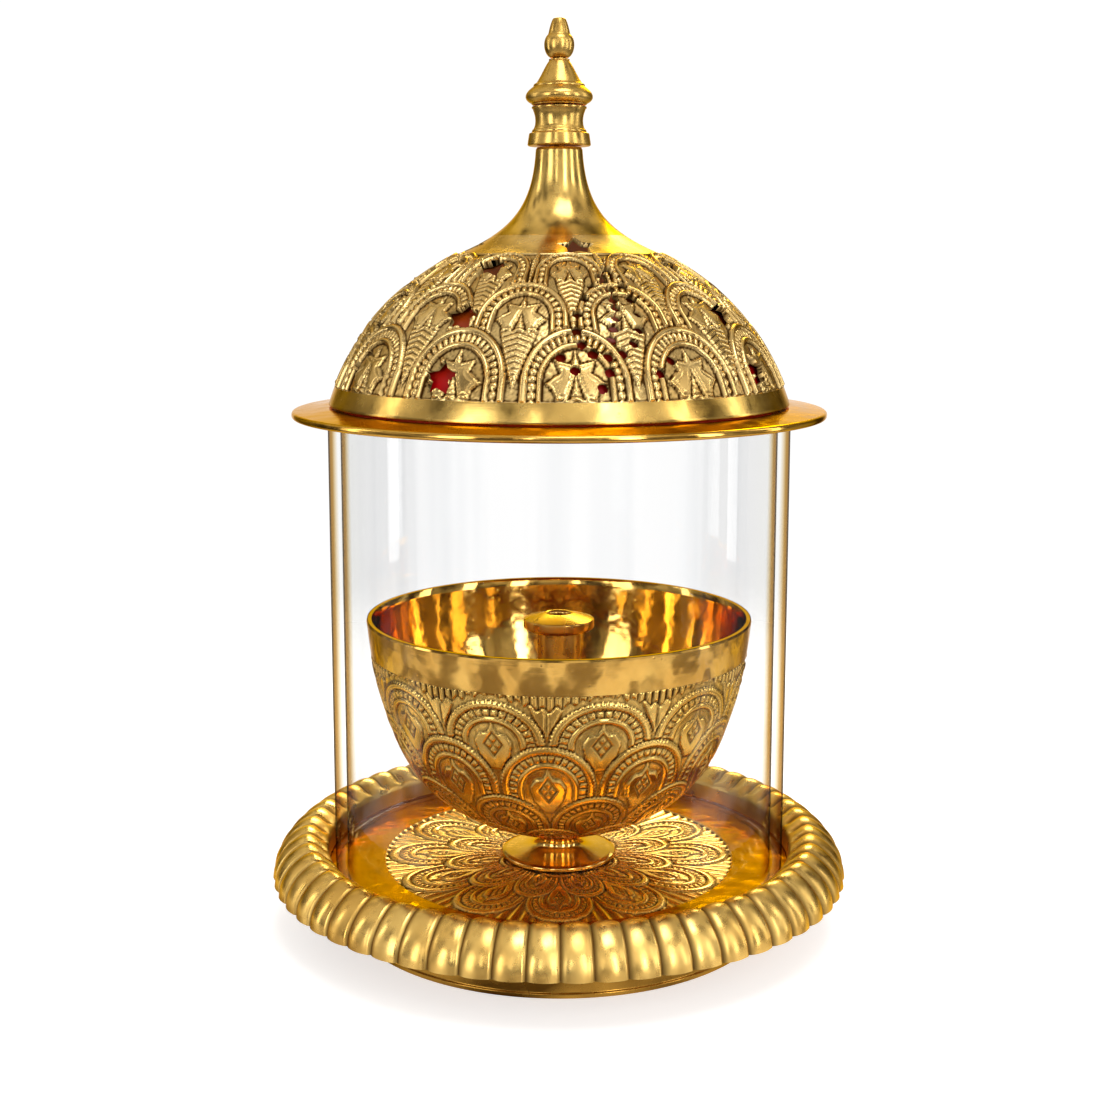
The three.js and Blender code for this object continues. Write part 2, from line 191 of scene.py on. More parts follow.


# Colour of light through the tube's wall, from seen square on (0) to seen edge on (1): a faint tint, and
# towards the edge the dark and amber lines of a painted reflection of what stands round the tube. Then the
# share of glass's own reflection that shows.
GLASS_TINTS_AND_PAINTED_EDGES = ((0.50, "#FCFCFC"), (0.72, "#FDFDFC"), (0.77, "#F1E7D4"), (0.82, "#DAC294"), (0.87, "#D0B584"),
               (0.90, "#A08F78"))
GLASS_SQUARE_ON = "#FEFEFE"
GLASS_PAINTED_EDGE = "#95866F"
GLASS_GLOSS = 0.07


def clear_glass():
    """Borosilicate tube glass, drawn and fire-polished. Its wall is thin, so sight and light pass straight
    through it. What shows is a weak reflection, faint grey streaks along the draw, and dark and amber lines
    where the wall is seen edge on: a painted reflection of what stands round it, set by how slanting the
    wall is seen."""
    material, tree = new_material("borosilicate_tube_glass")
    place = node(tree, "ShaderNodeTexCoord").outputs["Object"]
    drawn = node(tree, "ShaderNodeMapping", {"Vector": place, "Scale": (1.0, 1.0, 0.03)})
    streaks = node(tree, "ShaderNodeTexNoise", {
        "Vector": drawn.outputs[0], "Scale": 1 / (11 * MM), "Detail": 2.0})
    grey = node(tree, "ShaderNodeMapRange", {
        "Value": streaks.outputs["Fac"], "From Min": 0.50, "From Max": 0.66, "To Max": 0.6})
    # Painted reflection: the wall's colour turns dark and amber as it is seen more edge on.
    slant = node(tree, "ShaderNodeLayerWeight", {"Blend": 0.5}).outputs["Facing"]
    edge = node(tree, "ShaderNodeValToRGB", {0: slant})
    stops = edge.color_ramp.elements
    stops[0].color = linear(GLASS_SQUARE_ON)
    stops[1].color = linear(GLASS_PAINTED_EDGE)
    for share, tint in GLASS_TINTS_AND_PAINTED_EDGES:
        stops.new(share).color = linear(tint)
    tint = node(tree, "ShaderNodeMix", {
        FACTOR: grey.outputs[0], FIRST: edge.outputs[0], SECOND: linear("#F4F5F6")},
        data_type="RGBA", blend_type="MULTIPLY")
    through = node(tree, "ShaderNodeBsdfTransparent", {"Color": tint.outputs[MIXED]})
    bump = node(tree, "ShaderNodeBump", {
        "Height": streaks.outputs["Fac"], "Strength": 1.0, "Distance": 0.03 * MM})
    gloss = node(tree, "ShaderNodeBsdfGlossy", {"Roughness": 0.02, "Normal": bump.outputs[0]})
    mirror = node(tree, "ShaderNodeFresnel", {"IOR": 1.47})
    share = node(tree, "ShaderNodeMath", {0: mirror.outputs[0], 1: GLASS_GLOSS}, operation="MULTIPLY")
    surface = node(tree, "ShaderNodeMixShader", {
        0: share.outputs[0], 1: through.outputs[0], 2: gloss.outputs[0]})
    node(tree, "ShaderNodeOutputMaterial", {"Surface": surface.outputs[0]})
    return material


def red_lacquer(low, high):
    """Red lacquer brushed inside the dome: deep red low down, thinning to an amber film near the spire."""
    material, tree = new_material("brushed_red_lacquer")
    place = node(tree, "ShaderNodeTexCoord").outputs["Object"]
    split = node(tree, "ShaderNodeSeparateXYZ", {"Vector": place})
    streaks = node(tree, "ShaderNodeTexNoise", {"Vector": place, "Scale": 1 / (8 * MM), "Detail": 3.0})
    uneven = node(tree, "ShaderNodeMath", {
        0: streaks.outputs["Fac"], 1: 8 * MM, 2: split.outputs["Z"]}, operation="MULTIPLY_ADD")
    rise = node(tree, "ShaderNodeMapRange", {
        "Value": uneven.outputs[0], "From Min": low * MM, "From Max": high * MM})
    colour = node(tree, "ShaderNodeMix", {
        FACTOR: rise.outputs[0], FIRST: linear("#AE0208"), SECOND: linear("#7A3C06")}, data_type="RGBA")
    paint = node(tree, "ShaderNodeBsdfPrincipled", {
        "Base Color": colour.outputs[MIXED], "Roughness": 0.35, "Specular IOR Level": 0.25})
    node(tree, "ShaderNodeOutputMaterial", {"Surface": paint.outputs[0]})
    return material


# Surfaces and meshes

def on_turn(radius, height, turn):
    """Points at a radius and height, at a turn in degrees from the front (-Y), positive to the right."""
    angle = np.radians(turn)
    return np.stack(np.broadcast_arrays(radius * np.sin(angle), -radius * np.cos(angle), height), axis=-1)


def add_piece(name, points, quads, triangles, material, normals=None, grime_and_shade=None, sharp=40.0):
    """Puts points in millimetres and their faces into a mesh. It is shaded smooth, by the normals given
    or else with sharp edges past an angle."""
    mesh = bpy.data.meshes.new(name)
    corners = np.concatenate([quads.ravel(), triangles.ravel()]).astype(np.int32)
    sizes = np.concatenate([np.full(len(quads), 4), np.full(len(triangles), 3)])
    starts = np.concatenate([[0], np.cumsum(sizes)[:-1]]).astype(np.int32)
    mesh.vertices.add(len(points))
    mesh.vertices.foreach_set("co", (points * MM).astype(np.float32).ravel())
    mesh.loops.add(len(corners))
    mesh.loops.foreach_set("vertex_index", corners)
    mesh.polygons.add(len(sizes))
    mesh.polygons.foreach_set("loop_start", starts)
    mesh.polygons.foreach_set("use_smooth", np.ones(len(sizes), bool))
    mesh.update(calc_edges=True)
    # Per-point darkening: dirt in hollows together with painted shade.
    if grime_and_shade is not None:
        layer = mesh.attributes.new("grime_and_shade", "FLOAT", "POINT")
        layer.data.foreach_set("value", grime_and_shade.astype(np.float32).ravel())
    if normals is not None:
        mesh.normals_split_custom_set_from_vertices(normals)
    else:
        mesh.set_sharp_from_angle(angle=math.radians(sharp))
    mesh.materials.append(material)
    piece = bpy.data.objects.new(name, mesh)
    bpy.context.scene.collection.objects.link(piece)
    return piece


NO_TRIANGLES = np.zeros((0, 3), int)


def grid_quads(rows, columns, closed_rows=False):
    """Quads of a grid whose columns close round the axis, as an array (row, column, corner)."""
    i = np.arange(rows if closed_rows else rows - 1)[:, None]
    k = np.arange(columns)[None, :]
    up, across = (i + 1) % rows, (k + 1) % columns
    corners = (i * columns + k, i * columns + across, up * columns + across, up * columns + k)
    return np.stack(np.broadcast_arrays(*corners), axis=-1)


def rounded(corners, steps=6):
    """An outline of (radius, height, fillet) corners. Each corner is cut back by its fillet along both
    sides and bridged by a quadratic curve that has the corner as its control point."""
    places = np.array([c[:2] for c in corners], float)
    t = np.linspace(0, 1, steps)[:, None]
    outline = []
    for i, (radius, height, fillet) in enumerate(corners):
        here = places[i]
        if fillet == 0:
            outline.append(here[None])
            continue
        back = places[i - 1] - here
        ahead = places[(i + 1) % len(corners)] - here
        start = here + back / np.linalg.norm(back) * fillet
        end = here + ahead / np.linalg.norm(ahead) * fillet
        outline.append((1 - t) ** 2 * start + 2 * t * (1 - t) * here + t ** 2 * end)
    return np.concatenate(outline)


def bezier(*controls, steps=24):
    """Points of a Bezier curve: de Casteljau's repeated mixing of its control points."""
    t = np.linspace(0, 1, steps)[:, None]
    layer = [np.array(c, float)[None] + 0 * t for c in controls]
    while len(layer) > 1:
        layer = [(1 - t) * a + t * b for a, b in zip(layer, layer[1:])]
    return layer[0]


def spline(knots, steps=200):
    """A smooth line through the knots: a natural cubic spline over chord length, evenly sampled."""
    knots = np.array(knots, float)
    chord = np.concatenate([[0], np.cumsum(np.linalg.norm(np.diff(knots, axis=0), axis=1))])
    n = len(knots)
    gap = np.diff(chord)
    system = np.eye(n)
    right = np.zeros((n, 2))
    for i in range(1, n - 1):
        system[i, i - 1:i + 2] = gap[i - 1], 2 * (gap[i - 1] + gap[i]), gap[i]
        right[i] = 6 * ((knots[i + 1] - knots[i]) / gap[i] - (knots[i] - knots[i - 1]) / gap[i - 1])
    bend = np.linalg.solve(system, right)
    t = np.linspace(0, chord[-1], steps)
    i = np.clip(np.searchsorted(chord, t, side="right") - 1, 0, n - 2)
    h, a, b = gap[i, None], (chord[i + 1] - t)[:, None], (t - chord[i])[:, None]
    return (bend[i] * a ** 3 + bend[i + 1] * b ** 3) / (6 * h) + (knots[i] / h - bend[i] * h / 6) * a \
        + (knots[i + 1] / h - bend[i + 1] * h / 6) * b


def shifted(line, distance):
    """A line of (radius, height) points moved sideways, to the right of its running direction."""
    along = np.gradient(line, axis=0)
    along /= np.linalg.norm(along, axis=1, keepdims=True)
    return line + distance * np.stack([along[:, 1], -along[:, 0]], axis=1)


def turned(name, outline, material, around=240, sharp=40.0):
    """A body of revolution: an outline that runs counter-clockwise in the radius-height plane, carried
    round +Z. It closes on itself, or ends in a pole where it starts and ends on the axis."""
    on_axis = outline[0, 0] == 0 and outline[-1, 0] == 0
    rings = outline[1:-1] if on_axis else outline
    turn = np.arange(around) * FULL_TURN / around
    points = on_turn(rings[:, :1], rings[:, 1:], turn[None]).reshape(-1, 3)
    quads = grid_quads(len(rings), around, closed_rows=not on_axis).reshape(-1, 4)
    triangles = NO_TRIANGLES
    if on_axis:
        k = np.arange(around)
        across = (k + 1) % around
        last = (len(rings) - 1) * around
        low, high = len(points), len(points) + 1
        triangles = np.concatenate([
            np.stack([np.full(around, low), across, k], axis=1),
            np.stack([last + k, last + across, np.full(around, high)], axis=1)])
        points = np.concatenate([points, [[0, 0, outline[0, 1]], [0, 0, outline[-1, 1]]]])
    return add_piece(name, points, quads, triangles, material, sharp=sharp)


def finish_piece(piece, body, slot, *nodes):
    """Puts a piece on the body it rides on and hides the CAD nodes it stands for. The slot argument, the
    finish of the record it would take, is not used.
    """
    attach(piece, body)
    if nodes:
        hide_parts(*nodes)


# Chased relief

def smooth_step(low, high, value):
    """Rises from 0 to 1 between low and high, level at both ends."""
    t = np.clip((value - low) / (high - low), 0, 1)
    return t * t * (3 - 2 * t)


def bead_line(value, low, high):
    """Half-round ridge between low and high: a half circle's height, scaled to 1."""
    t = (2 * value - low - high) / (high - low)
    return np.sqrt(np.clip(1 - t * t, 0, 1))


def plateau(distance, edge):
    """A raised field: 0 outside an outline, 1 inside, over a sloping edge."""
    return smooth_step(-edge, edge, -distance)


def polygon_distance(x, y, outline):
    """Distance to a closed polygon, negative inside: the least distance to a side, with the sign
    from how many sides cross a line drawn to the right."""
    nearest = np.full(x.shape, 1e9)
    inside = np.zeros(x.shape, bool)
    for (ax, ay), (bx, by) in zip(outline, outline[1:] + outline[:1]):
        ex, ey = bx - ax, by - ay
        t = np.clip(((x - ax) * ex + (y - ay) * ey) / (ex * ex + ey * ey), 0, 1)
        nearest = np.minimum(nearest, np.hypot(x - ax - t * ex, y - ay - t * ey))
        if ey:
            inside ^= ((ay > y) != (by > y)) & (x < ax + (y - ay) * ex / ey)
    return np.where(inside, -nearest, nearest)


def stipple(shape, seed):
    """Matting punched by hand: seeded random heights from 0 to 1, each mixed with three neighbours."""
    field = np.random.default_rng(seed).random(shape)
    field = (field + np.roll(field, 1, 0) + np.roll(field, 1, 1) + np.roll(field, -1, 0)) / 4
    return (field - field.min()) / (field.max() - field.min())


def hollows(height, gain=7.0):
    """How far each point lies below its surroundings: the height blurred three times, less the height,
    from 0 to 1."""
    blurred = height.copy()
    for _ in range(3):
        ends = np.concatenate([blurred[:1], blurred, blurred[-1:]])
        blurred = (ends[:-2] + ends[1:-1] + ends[2:]) / 3
        blurred = (blurred + np.roll(blurred, 1, 1) + np.roll(blurred, -1, 1)) / 3
    return np.clip((blurred - height) * gain, 0, 1)


def arch_row(turn, rise, crown, springing, half_width, count, first):
    """One row of arches. across runs from -1 to 1 over an arch, up from 0 at the springing to 1 at the
    crown, and ring is the distance from the arch's centre, where its legs run straight down: 1 on its
    outer edge. along is the length round the arch from the crown, in shares of its height."""
    pitch = FULL_TURN / count
    across = ((turn - first + pitch / 2) % pitch - pitch / 2) / half_width
    up = (rise - springing) / (crown - springing)
    ring = np.hypot(across, np.maximum(up, 0))
    along = np.where(up > 0, np.arctan2(np.abs(across), np.maximum(up, 1e-6)), np.pi / 2 - up)
    return across, up, ring, along


# Half outline of the star leaf inside a dome arch, in shares of the inner field's half width, and of its
# height from the foot of the arch's legs.
STAR_LEAF = [(0, 0.96), (0.12, 0.69), (0.64, 0.77), (0.47, 0.53), (0.90, 0.33), (0.66, 0.18), (0.56, 0.02),
             (0.27, 0.02), (0, 0.52)]
NOTCH_LEAF = [(0, 0.46), (0.17, 0.02), (-0.17, 0.02)]
LEG_MM = 4.2

# Half outline of the flame leaf inside a bowl arch, and half the width and height of its lozenge, in
# shares of the arch.
FLAME_LEAF = [(0, 0.52), (0.09, 0.28), (0.26, 0.26), (0.38, 0.04), (0.32, -0.26), (0.10, -0.62)]
LOZENGE_WIDTH, LOZENGE_HEIGHT = 0.17, 0.26

# Height of the sunk field between the raised lines, in millimetres from the surface before chasing.
DOME_FIELD = -0.40
BOWL_FIELD = -0.26

# Share of an arch's size at the middle of its ring of ticks, and at the edge of its inner field.
RING_SHARE = 0.8
INNER_SHARE = 0.61


def dome_ticks(ring, length):
    """Ring of long ticks round the arch, which turn to round beads 9 to 13 mm down from the crown."""
    on_legs = smooth_step(9.0, 13.0, length)
    cell = np.abs((length / 1.55 % 1) - 0.5) * 2
    tick = smooth_step(0.92, 0.42, cell) * bead_line(ring, 0.715, 0.885) ** 0.4
    bead_ring = np.hypot((ring - RING_SHARE) / 0.085, cell)
    bead = np.sqrt(np.clip(1 - bead_ring ** 2, 0, 1))
    return tick * (1 - on_legs) + bead * on_legs


def dome_field(across, up, ground, height_mm):
    """Inside of a dome arch: a smooth star leaf with a jagged edge and a line cut inside it, a rope-edged
    leaf in its notch, and a ribbed fern that hangs below it and narrows, on a matted field."""
    inner_across = across / INNER_SHARE
    inner_up = (up * height_mm + LEG_MM) / (INNER_SHARE * height_mm + LEG_MM)
    mirrored = STAR_LEAF + [(-x, y) for x, y in STAR_LEAF[-2:0:-1]]
    jag = 0.04 * np.abs(((inner_up * 9 + np.abs(inner_across) * 7) % 1) - 0.5)
    edge = polygon_distance(inner_across, inner_up, mirrored) + jag
    leaf = plateau(edge, 0.03) - 0.25 * bead_line(edge, -0.10, -0.04)
    notch = polygon_distance(inner_across, inner_up, NOTCH_LEAF)
    rope = 0.5 + 0.5 * np.abs(np.sin(inner_up * 34))
    small_leaf = plateau(notch, 0.03) * rope * (1 - np.abs(inner_across) * 3)
    below = -LEG_MM - up * height_mm
    tail = np.abs(across) - 0.36 + 0.028 * below
    ribs = bead_line((below / 1.4 - np.abs(across) * 3) % 1, 0.08, 0.92)
    fern = plateau(tail, 0.03) * smooth_step(-1.2, 0.4, below) * (0.24 + 0.30 * ribs)
    field = DOME_FIELD + 0.16 * ground + fern
    return np.maximum(field + (0.66 - 0.16 * ground) * leaf, field + 0.60 * small_leaf)


def dome_arch(across, up, ring, along, ground, height_mm):
    """Arch of the dome: a half-round outer band, a ring of ticks and beads, a half-round inner band and
    the leafy field inside them. Each point takes the highest of them."""
    ticks = dome_ticks(ring, along * RING_SHARE * height_mm)
    height = np.where(ring < INNER_SHARE, dome_field(across, up, ground, height_mm), DOME_FIELD)
    height = np.maximum(height, DOME_FIELD + 0.54 * ticks)
    height = np.maximum(height, DOME_FIELD + 0.90 * bead_line(ring, 0.885, 1.005) ** 0.8)
    return np.maximum(height, DOME_FIELD + 0.84 * bead_line(ring, 0.612, 0.715) ** 0.8)


def bowl_leaf(across, up):
    """The flame-shaped leaf of a bowl arch, from 0 to 1, and the lines cut into it: a lozenge's outline
    and the cross inside it."""
    jag = 0.035 * np.abs(((up * 7 + np.abs(across) * 5) % 1) - 0.5)
    mirrored = FLAME_LEAF + [(-x, y) for x, y in FLAME_LEAF[::-1][:-1]]
    leaf = plateau(polygon_distance(across, up, mirrored) + jag, 0.02)
    wide, tall = across / LOZENGE_WIDTH, up / LOZENGE_HEIGHT
    lozenge = np.abs(wide) + np.abs(tall)
    cross_cut = np.minimum(np.abs(wide + tall), np.abs(wide - tall))
    cut = np.maximum(bead_line(lozenge, 0.86, 1.24), (lozenge < 1) * bead_line(cross_cut, -0.22, 0.22))
    return leaf, cut


def bowl_arch(across, up, ring, along, ground, height_mm):
    """Arch of the bowl: a broad smooth band with a notched edge, a ring of square blocks, an inner band,
    and a smooth flame-shaped leaf with a crossed lozenge cut into it, on a matted field."""
    length = along * RING_SHARE * height_mm
    cell = np.abs(((length / 1.75) % 1) - 0.5) * 2
    blocks = smooth_step(0.92, 0.62, cell) * bead_line(ring, 0.655, 0.805) ** 0.5
    notch = 0.012 * np.cos(2 * np.pi * length / 0.8)
    leaf, cut = bowl_leaf(across, up)
    height = BOWL_FIELD + 0.10 * ground
    height = np.maximum(height, BOWL_FIELD + leaf * (0.40 - 0.24 * cut))
    height = np.maximum(height, BOWL_FIELD + 0.36 * blocks)
    height = np.maximum(height, BOWL_FIELD + 0.48 * bead_line(ring + notch, 0.83, 0.99) ** 0.7)
    return np.maximum(height, BOWL_FIELD + 0.44 * bead_line(ring, 0.52, 0.645) ** 0.8)


def chased(turn, rise, rows, draw_arch, ground, seed):
    """Rows of arches laid over one another like fish scales: each lower row covers the ones above it.
    rows lists (crown, springing, half width, count, first turn) from the top row down."""
    height = ground
    matting = stipple(turn.shape, seed)
    for crown, springing, half_width, count, first in rows:
        across, up, ring, along = arch_row(turn, rise, crown, springing, half_width, count, first)
        drawn = draw_arch(across, up, ring, along, matting, crown - springing)
        height = np.where(ring <= 1.03, drawn, height)
    return height


def surface_normals(points):
    """Normals of a grid of points that closes round its columns: the turn direction crossed with the
    direction up the rows."""
    around = (np.roll(points, -1, 1) - np.roll(points, 1, 1))
    upward = np.gradient(points, axis=0)
    normals = np.cross(around, upward)
    return normals / np.linalg.norm(normals, axis=-1, keepdims=True)


# Dome

DOME_BAND = 4.4
DOME_WALL = 1.2
DOME_EDGE_RADIUS = reach("pierced_dome")
DOME_BALL_RADIUS = 54.5
DOME_FOOT = bottom("pierced_dome")
DOME_TOP = top("pierced_dome")
SPIRE_FOOT_RADIUS = 22.6
SPIRE_NECK_RADIUS = 5.2
STUD_BORE = 1.5
BALL_DROP = math.sqrt(DOME_BALL_RADIUS ** 2 - DOME_EDGE_RADIUS ** 2)
BALL_CENTRE = DOME_FOOT - BALL_DROP
BALL_START = math.asin(BALL_DROP / DOME_BALL_RADIUS)
BALL_END = math.acos(SPIRE_FOOT_RADIUS / DOME_BALL_RADIUS)
BALL_ARC = DOME_BALL_RADIUS * (BALL_END - BALL_START)
SPIRE_FOOT = BALL_CENTRE + DOME_BALL_RADIUS * math.sin(BALL_END)
SKIN_TOP = BALL_ARC + 9.0

STAR_COLUMNS = (60, 150, 240, 330)
STAR_TIERS = (27.0, 42.5, 59.0)
CROWN_TURNS = (11, 101, 191, 281)
CROWN_RISE = 3.6
STAR_RADIUS = 4.1
STAR_NOTCH = 0.55
STAR_BLUNT = 0.15
DOT_RADIUS = 1.2
SPRIG_TURNS = (15, 105, 195, 285)
SPRIG_ARC = 27.0
LINED_UP_TO = 27.0
LINING_GAP = 1.0
LINING_OVERLAP = 1.0


def dome_profile():
    """Outer line of the dome from its edge to the spire's cap: an arc of the ball, then the drawn curve of
    the spire. Gives the arc length, the points and the outward normals."""
    angle = np.linspace(BALL_START, BALL_END, 400)
    ball = np.stack([
        DOME_BALL_RADIUS * np.cos(angle), BALL_CENTRE + DOME_BALL_RADIUS * np.sin(angle)], axis=1)
    flare = bezier((SPIRE_FOOT_RADIUS, SPIRE_FOOT), (SPIRE_FOOT_RADIUS - 12, SPIRE_FOOT + 5.04),
                   (SPIRE_NECK_RADIUS + 0.78, DOME_TOP - 13), (SPIRE_NECK_RADIUS, DOME_TOP - 0.3), steps=500)
    line = np.concatenate([ball, flare[1:]])
    length = np.concatenate([[0], np.cumsum(np.linalg.norm(np.diff(line, axis=0), axis=1))])
    return length, line, shifted(line, 1.0) - line


DOME_LENGTH, DOME_LINE, DOME_NORMAL = dome_profile()


def dome_radius(arc):
    """Distance from the axis at an arc length above the dome's edge."""
    return np.interp(arc, DOME_LENGTH, DOME_LINE[:, 0])


def dome_point(arc, turn, lift):
    """A point of the dome at an arc length above its edge, lifted along the normal."""
    radius = dome_radius(arc) + lift * np.interp(arc, DOME_LENGTH, DOME_NORMAL[:, 0])
    height = np.interp(arc, DOME_LENGTH, DOME_LINE[:, 1])
    height = height + lift * np.interp(arc, DOME_LENGTH, DOME_NORMAL[:, 1])
    return on_turn(radius, height, turn)


# Rows of arches, from the top row down: crown and springing as arc above the edge in millimetres, half
# width in degrees, how many there are, and the turn of the first.
DOME_ROWS = [
    (46.0, 38.6, 13.6, 12, 3.7),
    (34.1, 24.5, 13.6, 12, 18.7),
    (21.3, 9.0, 13.1, 12, 3.7),
]


def star_gap(across, up):
    """Distance to a blunt five-pointed star with one point up, negative inside."""
    tips = []
    for i in range(10):
        length = STAR_RADIUS * (1 if i % 2 == 0 else STAR_NOTCH)
        angle = math.pi / 2 + math.pi * i / 5
        tips.append((length * math.cos(angle), length * math.sin(angle)))
    return polygon_distance(across, up, tips) - STAR_BLUNT


# The sprig's two stem dots, then the two loose dots on either side of them.
SPRIG_FOOT = [(-2.4, -16.0), (-4.4, -19.4), (-9.5, -15.5), (8.5, -16.5), (-12.0, -12.5), (11.5, -13.5)]


def sprig_dots():
    """Centres of the drilled dots of one leaf sprig, as (turn, arc): a teardrop outline, a bent vein
    inside it and the dots at its foot, in millimetres across and up from the sprig's middle. The way
    across is made a turn by the dome's radius at the dot."""
    t = np.linspace(0.35, 2 * np.pi - 0.35, 17)
    outline = np.stack([
        9.2 * np.sin(t) * np.sin(t / 2) ** 1.3 + 2.4 * np.cos(t), 12.5 * np.cos(t)], axis=1)
    s = np.linspace(0, 1, 7)
    vein = np.stack([2.6 * np.sin(2.4 * s) - 1.0, -8.5 + 16 * s], axis=1)
    dots = np.concatenate([outline, vein, SPRIG_FOOT])
    arc = SPRIG_ARC + dots[:, 1]
    return np.degrees(dots[:, 0] / dome_radius(arc)), arc


def dome_gaps(turn, arc, grow=0.0):
    """Distance to the nearest star or dot hole, negative inside one, measured along the surface."""
    radius = dome_radius(arc)
    nearest = np.full(turn.shape, 99.0)
    tiers = [(math.radians(tier) - BALL_START) * DOME_BALL_RADIUS for tier in STAR_TIERS]
    stars = [(column, tier) for column in STAR_COLUMNS for tier in tiers]
    stars += [(crown, BALL_ARC + CROWN_RISE) for crown in CROWN_TURNS]
    for star_turn, star_arc in stars:
        across = np.radians((turn - star_turn + 180) % 360 - 180) * radius
        nearest = np.minimum(nearest, star_gap(across, arc - star_arc))
    dot_turns, dot_arcs = sprig_dots()
    for sprig in SPRIG_TURNS:
        for dot_turn, dot_arc in zip(dot_turns, dot_arcs):
            across = np.radians((turn - sprig - dot_turn + 180) % 360 - 180) * radius
            nearest = np.minimum(nearest, np.hypot(across, arc - dot_arc) - DOT_RADIUS)
    return nearest - grow


def cut_holes(turn, arc, gap, spacing):
    """Moves the grid points nearest to a hole's outline onto it, along the slope of the gap, and tells
    which quads to keep: those with a corner outside every hole."""
    radius = dome_radius(arc)
    step_up = np.gradient(arc, axis=0)
    step_round = np.radians(FULL_TURN / turn.shape[1]) * radius
    slope_up = np.gradient(gap, axis=0) / step_up
    slope_round = (np.roll(gap, -1, 1) - np.roll(gap, 1, 1)) / (2 * step_round)
    steep = np.maximum(slope_up ** 2 + slope_round ** 2, 0.25)
    near = np.abs(gap) < 0.62 * spacing
    move = np.where(near, -gap / steep, 0)
    arc = arc + move * slope_up
    turn = turn + np.degrees(move * slope_round / radius)
    gap = np.where(near, 0, gap)
    corners = np.stack([gap, np.roll(gap, -1, 1)])
    corners = np.concatenate([corners[:, :-1], corners[:, 1:]])
    return turn, arc, corners.max(axis=0) > 1e-6


def hole_walls(quads, keep, depth_offset):
    """Quads that close the holes' edges: each side of a kept quad that borders a dropped one, joined to
    the same side one wall thickness in. depth_offset is added to a point's number to get its inner twin."""
    walls = []
    for first, second, neighbour in (
        (0, 1, np.concatenate([keep[:1], keep[:-1]])),
        (2, 3, np.concatenate([keep[1:], keep[-1:]])),
        (1, 2, np.roll(keep, -1, 1)),
        (3, 0, np.roll(keep, 1, 1)),
    ):
        side = keep & ~neighbour
        a, b = quads[side][:, first], quads[side][:, second]
        walls.append(np.stack([b, a, a + depth_offset, b + depth_offset], axis=1))
    return np.concatenate(walls)


def dome_ground(turn, arc):
    """Between the arches: a matted low field where a ribbed, pointed leaf stands in each gap, with a
    smaller leaf leaning away from it on either side."""
    ground = DOME_FIELD + 0.16 * stipple(turn.shape, 11)
    for crown, springing, half_width, count, first in DOME_ROWS:
        pitch = FULL_TURN / count
        offset = np.abs((turn - first) % pitch - pitch / 2) / pitch * 26
        above = arc - springing - 3.5
        tail = offset + 0.13 * np.abs(above) - 1.25
        ribs = 0.16 * bead_line((above / 1.1 + offset * 0.6) % 1, 0.1, 0.9)
        ground = np.maximum(ground, DOME_FIELD + (0.50 + ribs) * plateau(tail, 0.25))
        side = np.hypot(offset - 2.7 - 0.25 * above, (above + 0.5) / 3.0) - 0.8
        ground = np.maximum(ground, DOME_FIELD + (0.42 + ribs) * plateau(side, 0.2))
    return ground


# How dark the inside of the pierced skin and the walls of its holes are painted, from 0 to 1: painted shade
# for the dim inside of the dome.
INNER_PAINTED_SHADE = 0.8


def engraved_dome(material):
    """The embossed and pierced skin, worked as one grid of arc length by turn and laid out as three
    pieces, one to a row of arches, that share their normals where they meet."""
    columns, rows = 1080, 202
    arc = np.linspace(DOME_BAND, SKIN_TOP, rows)[:, None] + np.zeros((1, columns))
    turn = (np.arange(columns) * FULL_TURN / columns)[None] + np.zeros((rows, 1))
    relief = chased(turn, arc, DOME_ROWS, dome_arch, dome_ground(turn, arc), 5)
    relief = relief * smooth_step(DOME_BAND, DOME_BAND + 0.5, arc)
    relief = relief * smooth_step(BALL_ARC, BALL_ARC - 0.4, arc)
    # Darkening of the relief's hollows and of its low field: dirt together with painted shade.
    grime_and_shade = np.clip(hollows(relief, gain=9.0) + 0.22 * smooth_step(-0.16, -0.34, relief), 0, 1)
    spacing = (SKIN_TOP - DOME_BAND) / (rows - 1)
    turn, arc, keep = cut_holes(turn, arc, dome_gaps(turn, arc), spacing)
    points = dome_point(arc, turn, relief)
    normals = surface_normals(points)
    inner = dome_point(arc, turn, -DOME_WALL)
    pieces = []
    for i, name in enumerate(("dome_low_arches", "dome_middle_arches", "dome_high_arches")):
        low, high = i * (rows - 1) // 3, (i + 1) * (rows - 1) // 3
        part, part_keep = slice(low, high + 1), keep[low:high]
        quads = grid_quads(high - low + 1, columns)
        count = (high - low + 1) * columns
        walls = hole_walls(quads, part_keep, count)
        faces = np.concatenate([quads[part_keep], walls])
        both = np.concatenate([points[part].reshape(-1, 3), inner[part].reshape(-1, 3)])
        both_normals = np.concatenate([normals[part].reshape(-1, 3)] * 2)
        # The inner twin points take the painted shade of the inside; the hole walls blend from the outside's
        # darkening to it.
        dark = np.concatenate([grime_and_shade[part].ravel(), np.full(count, INNER_PAINTED_SHADE)])
        used, faces = np.unique(faces, return_inverse=True)
        pieces.append(add_piece(name, both[used], faces.reshape(-1, 4), NO_TRIANGLES, material,
                                normals=both_normals[used], grime_and_shade=dark[used]))
    return pieces


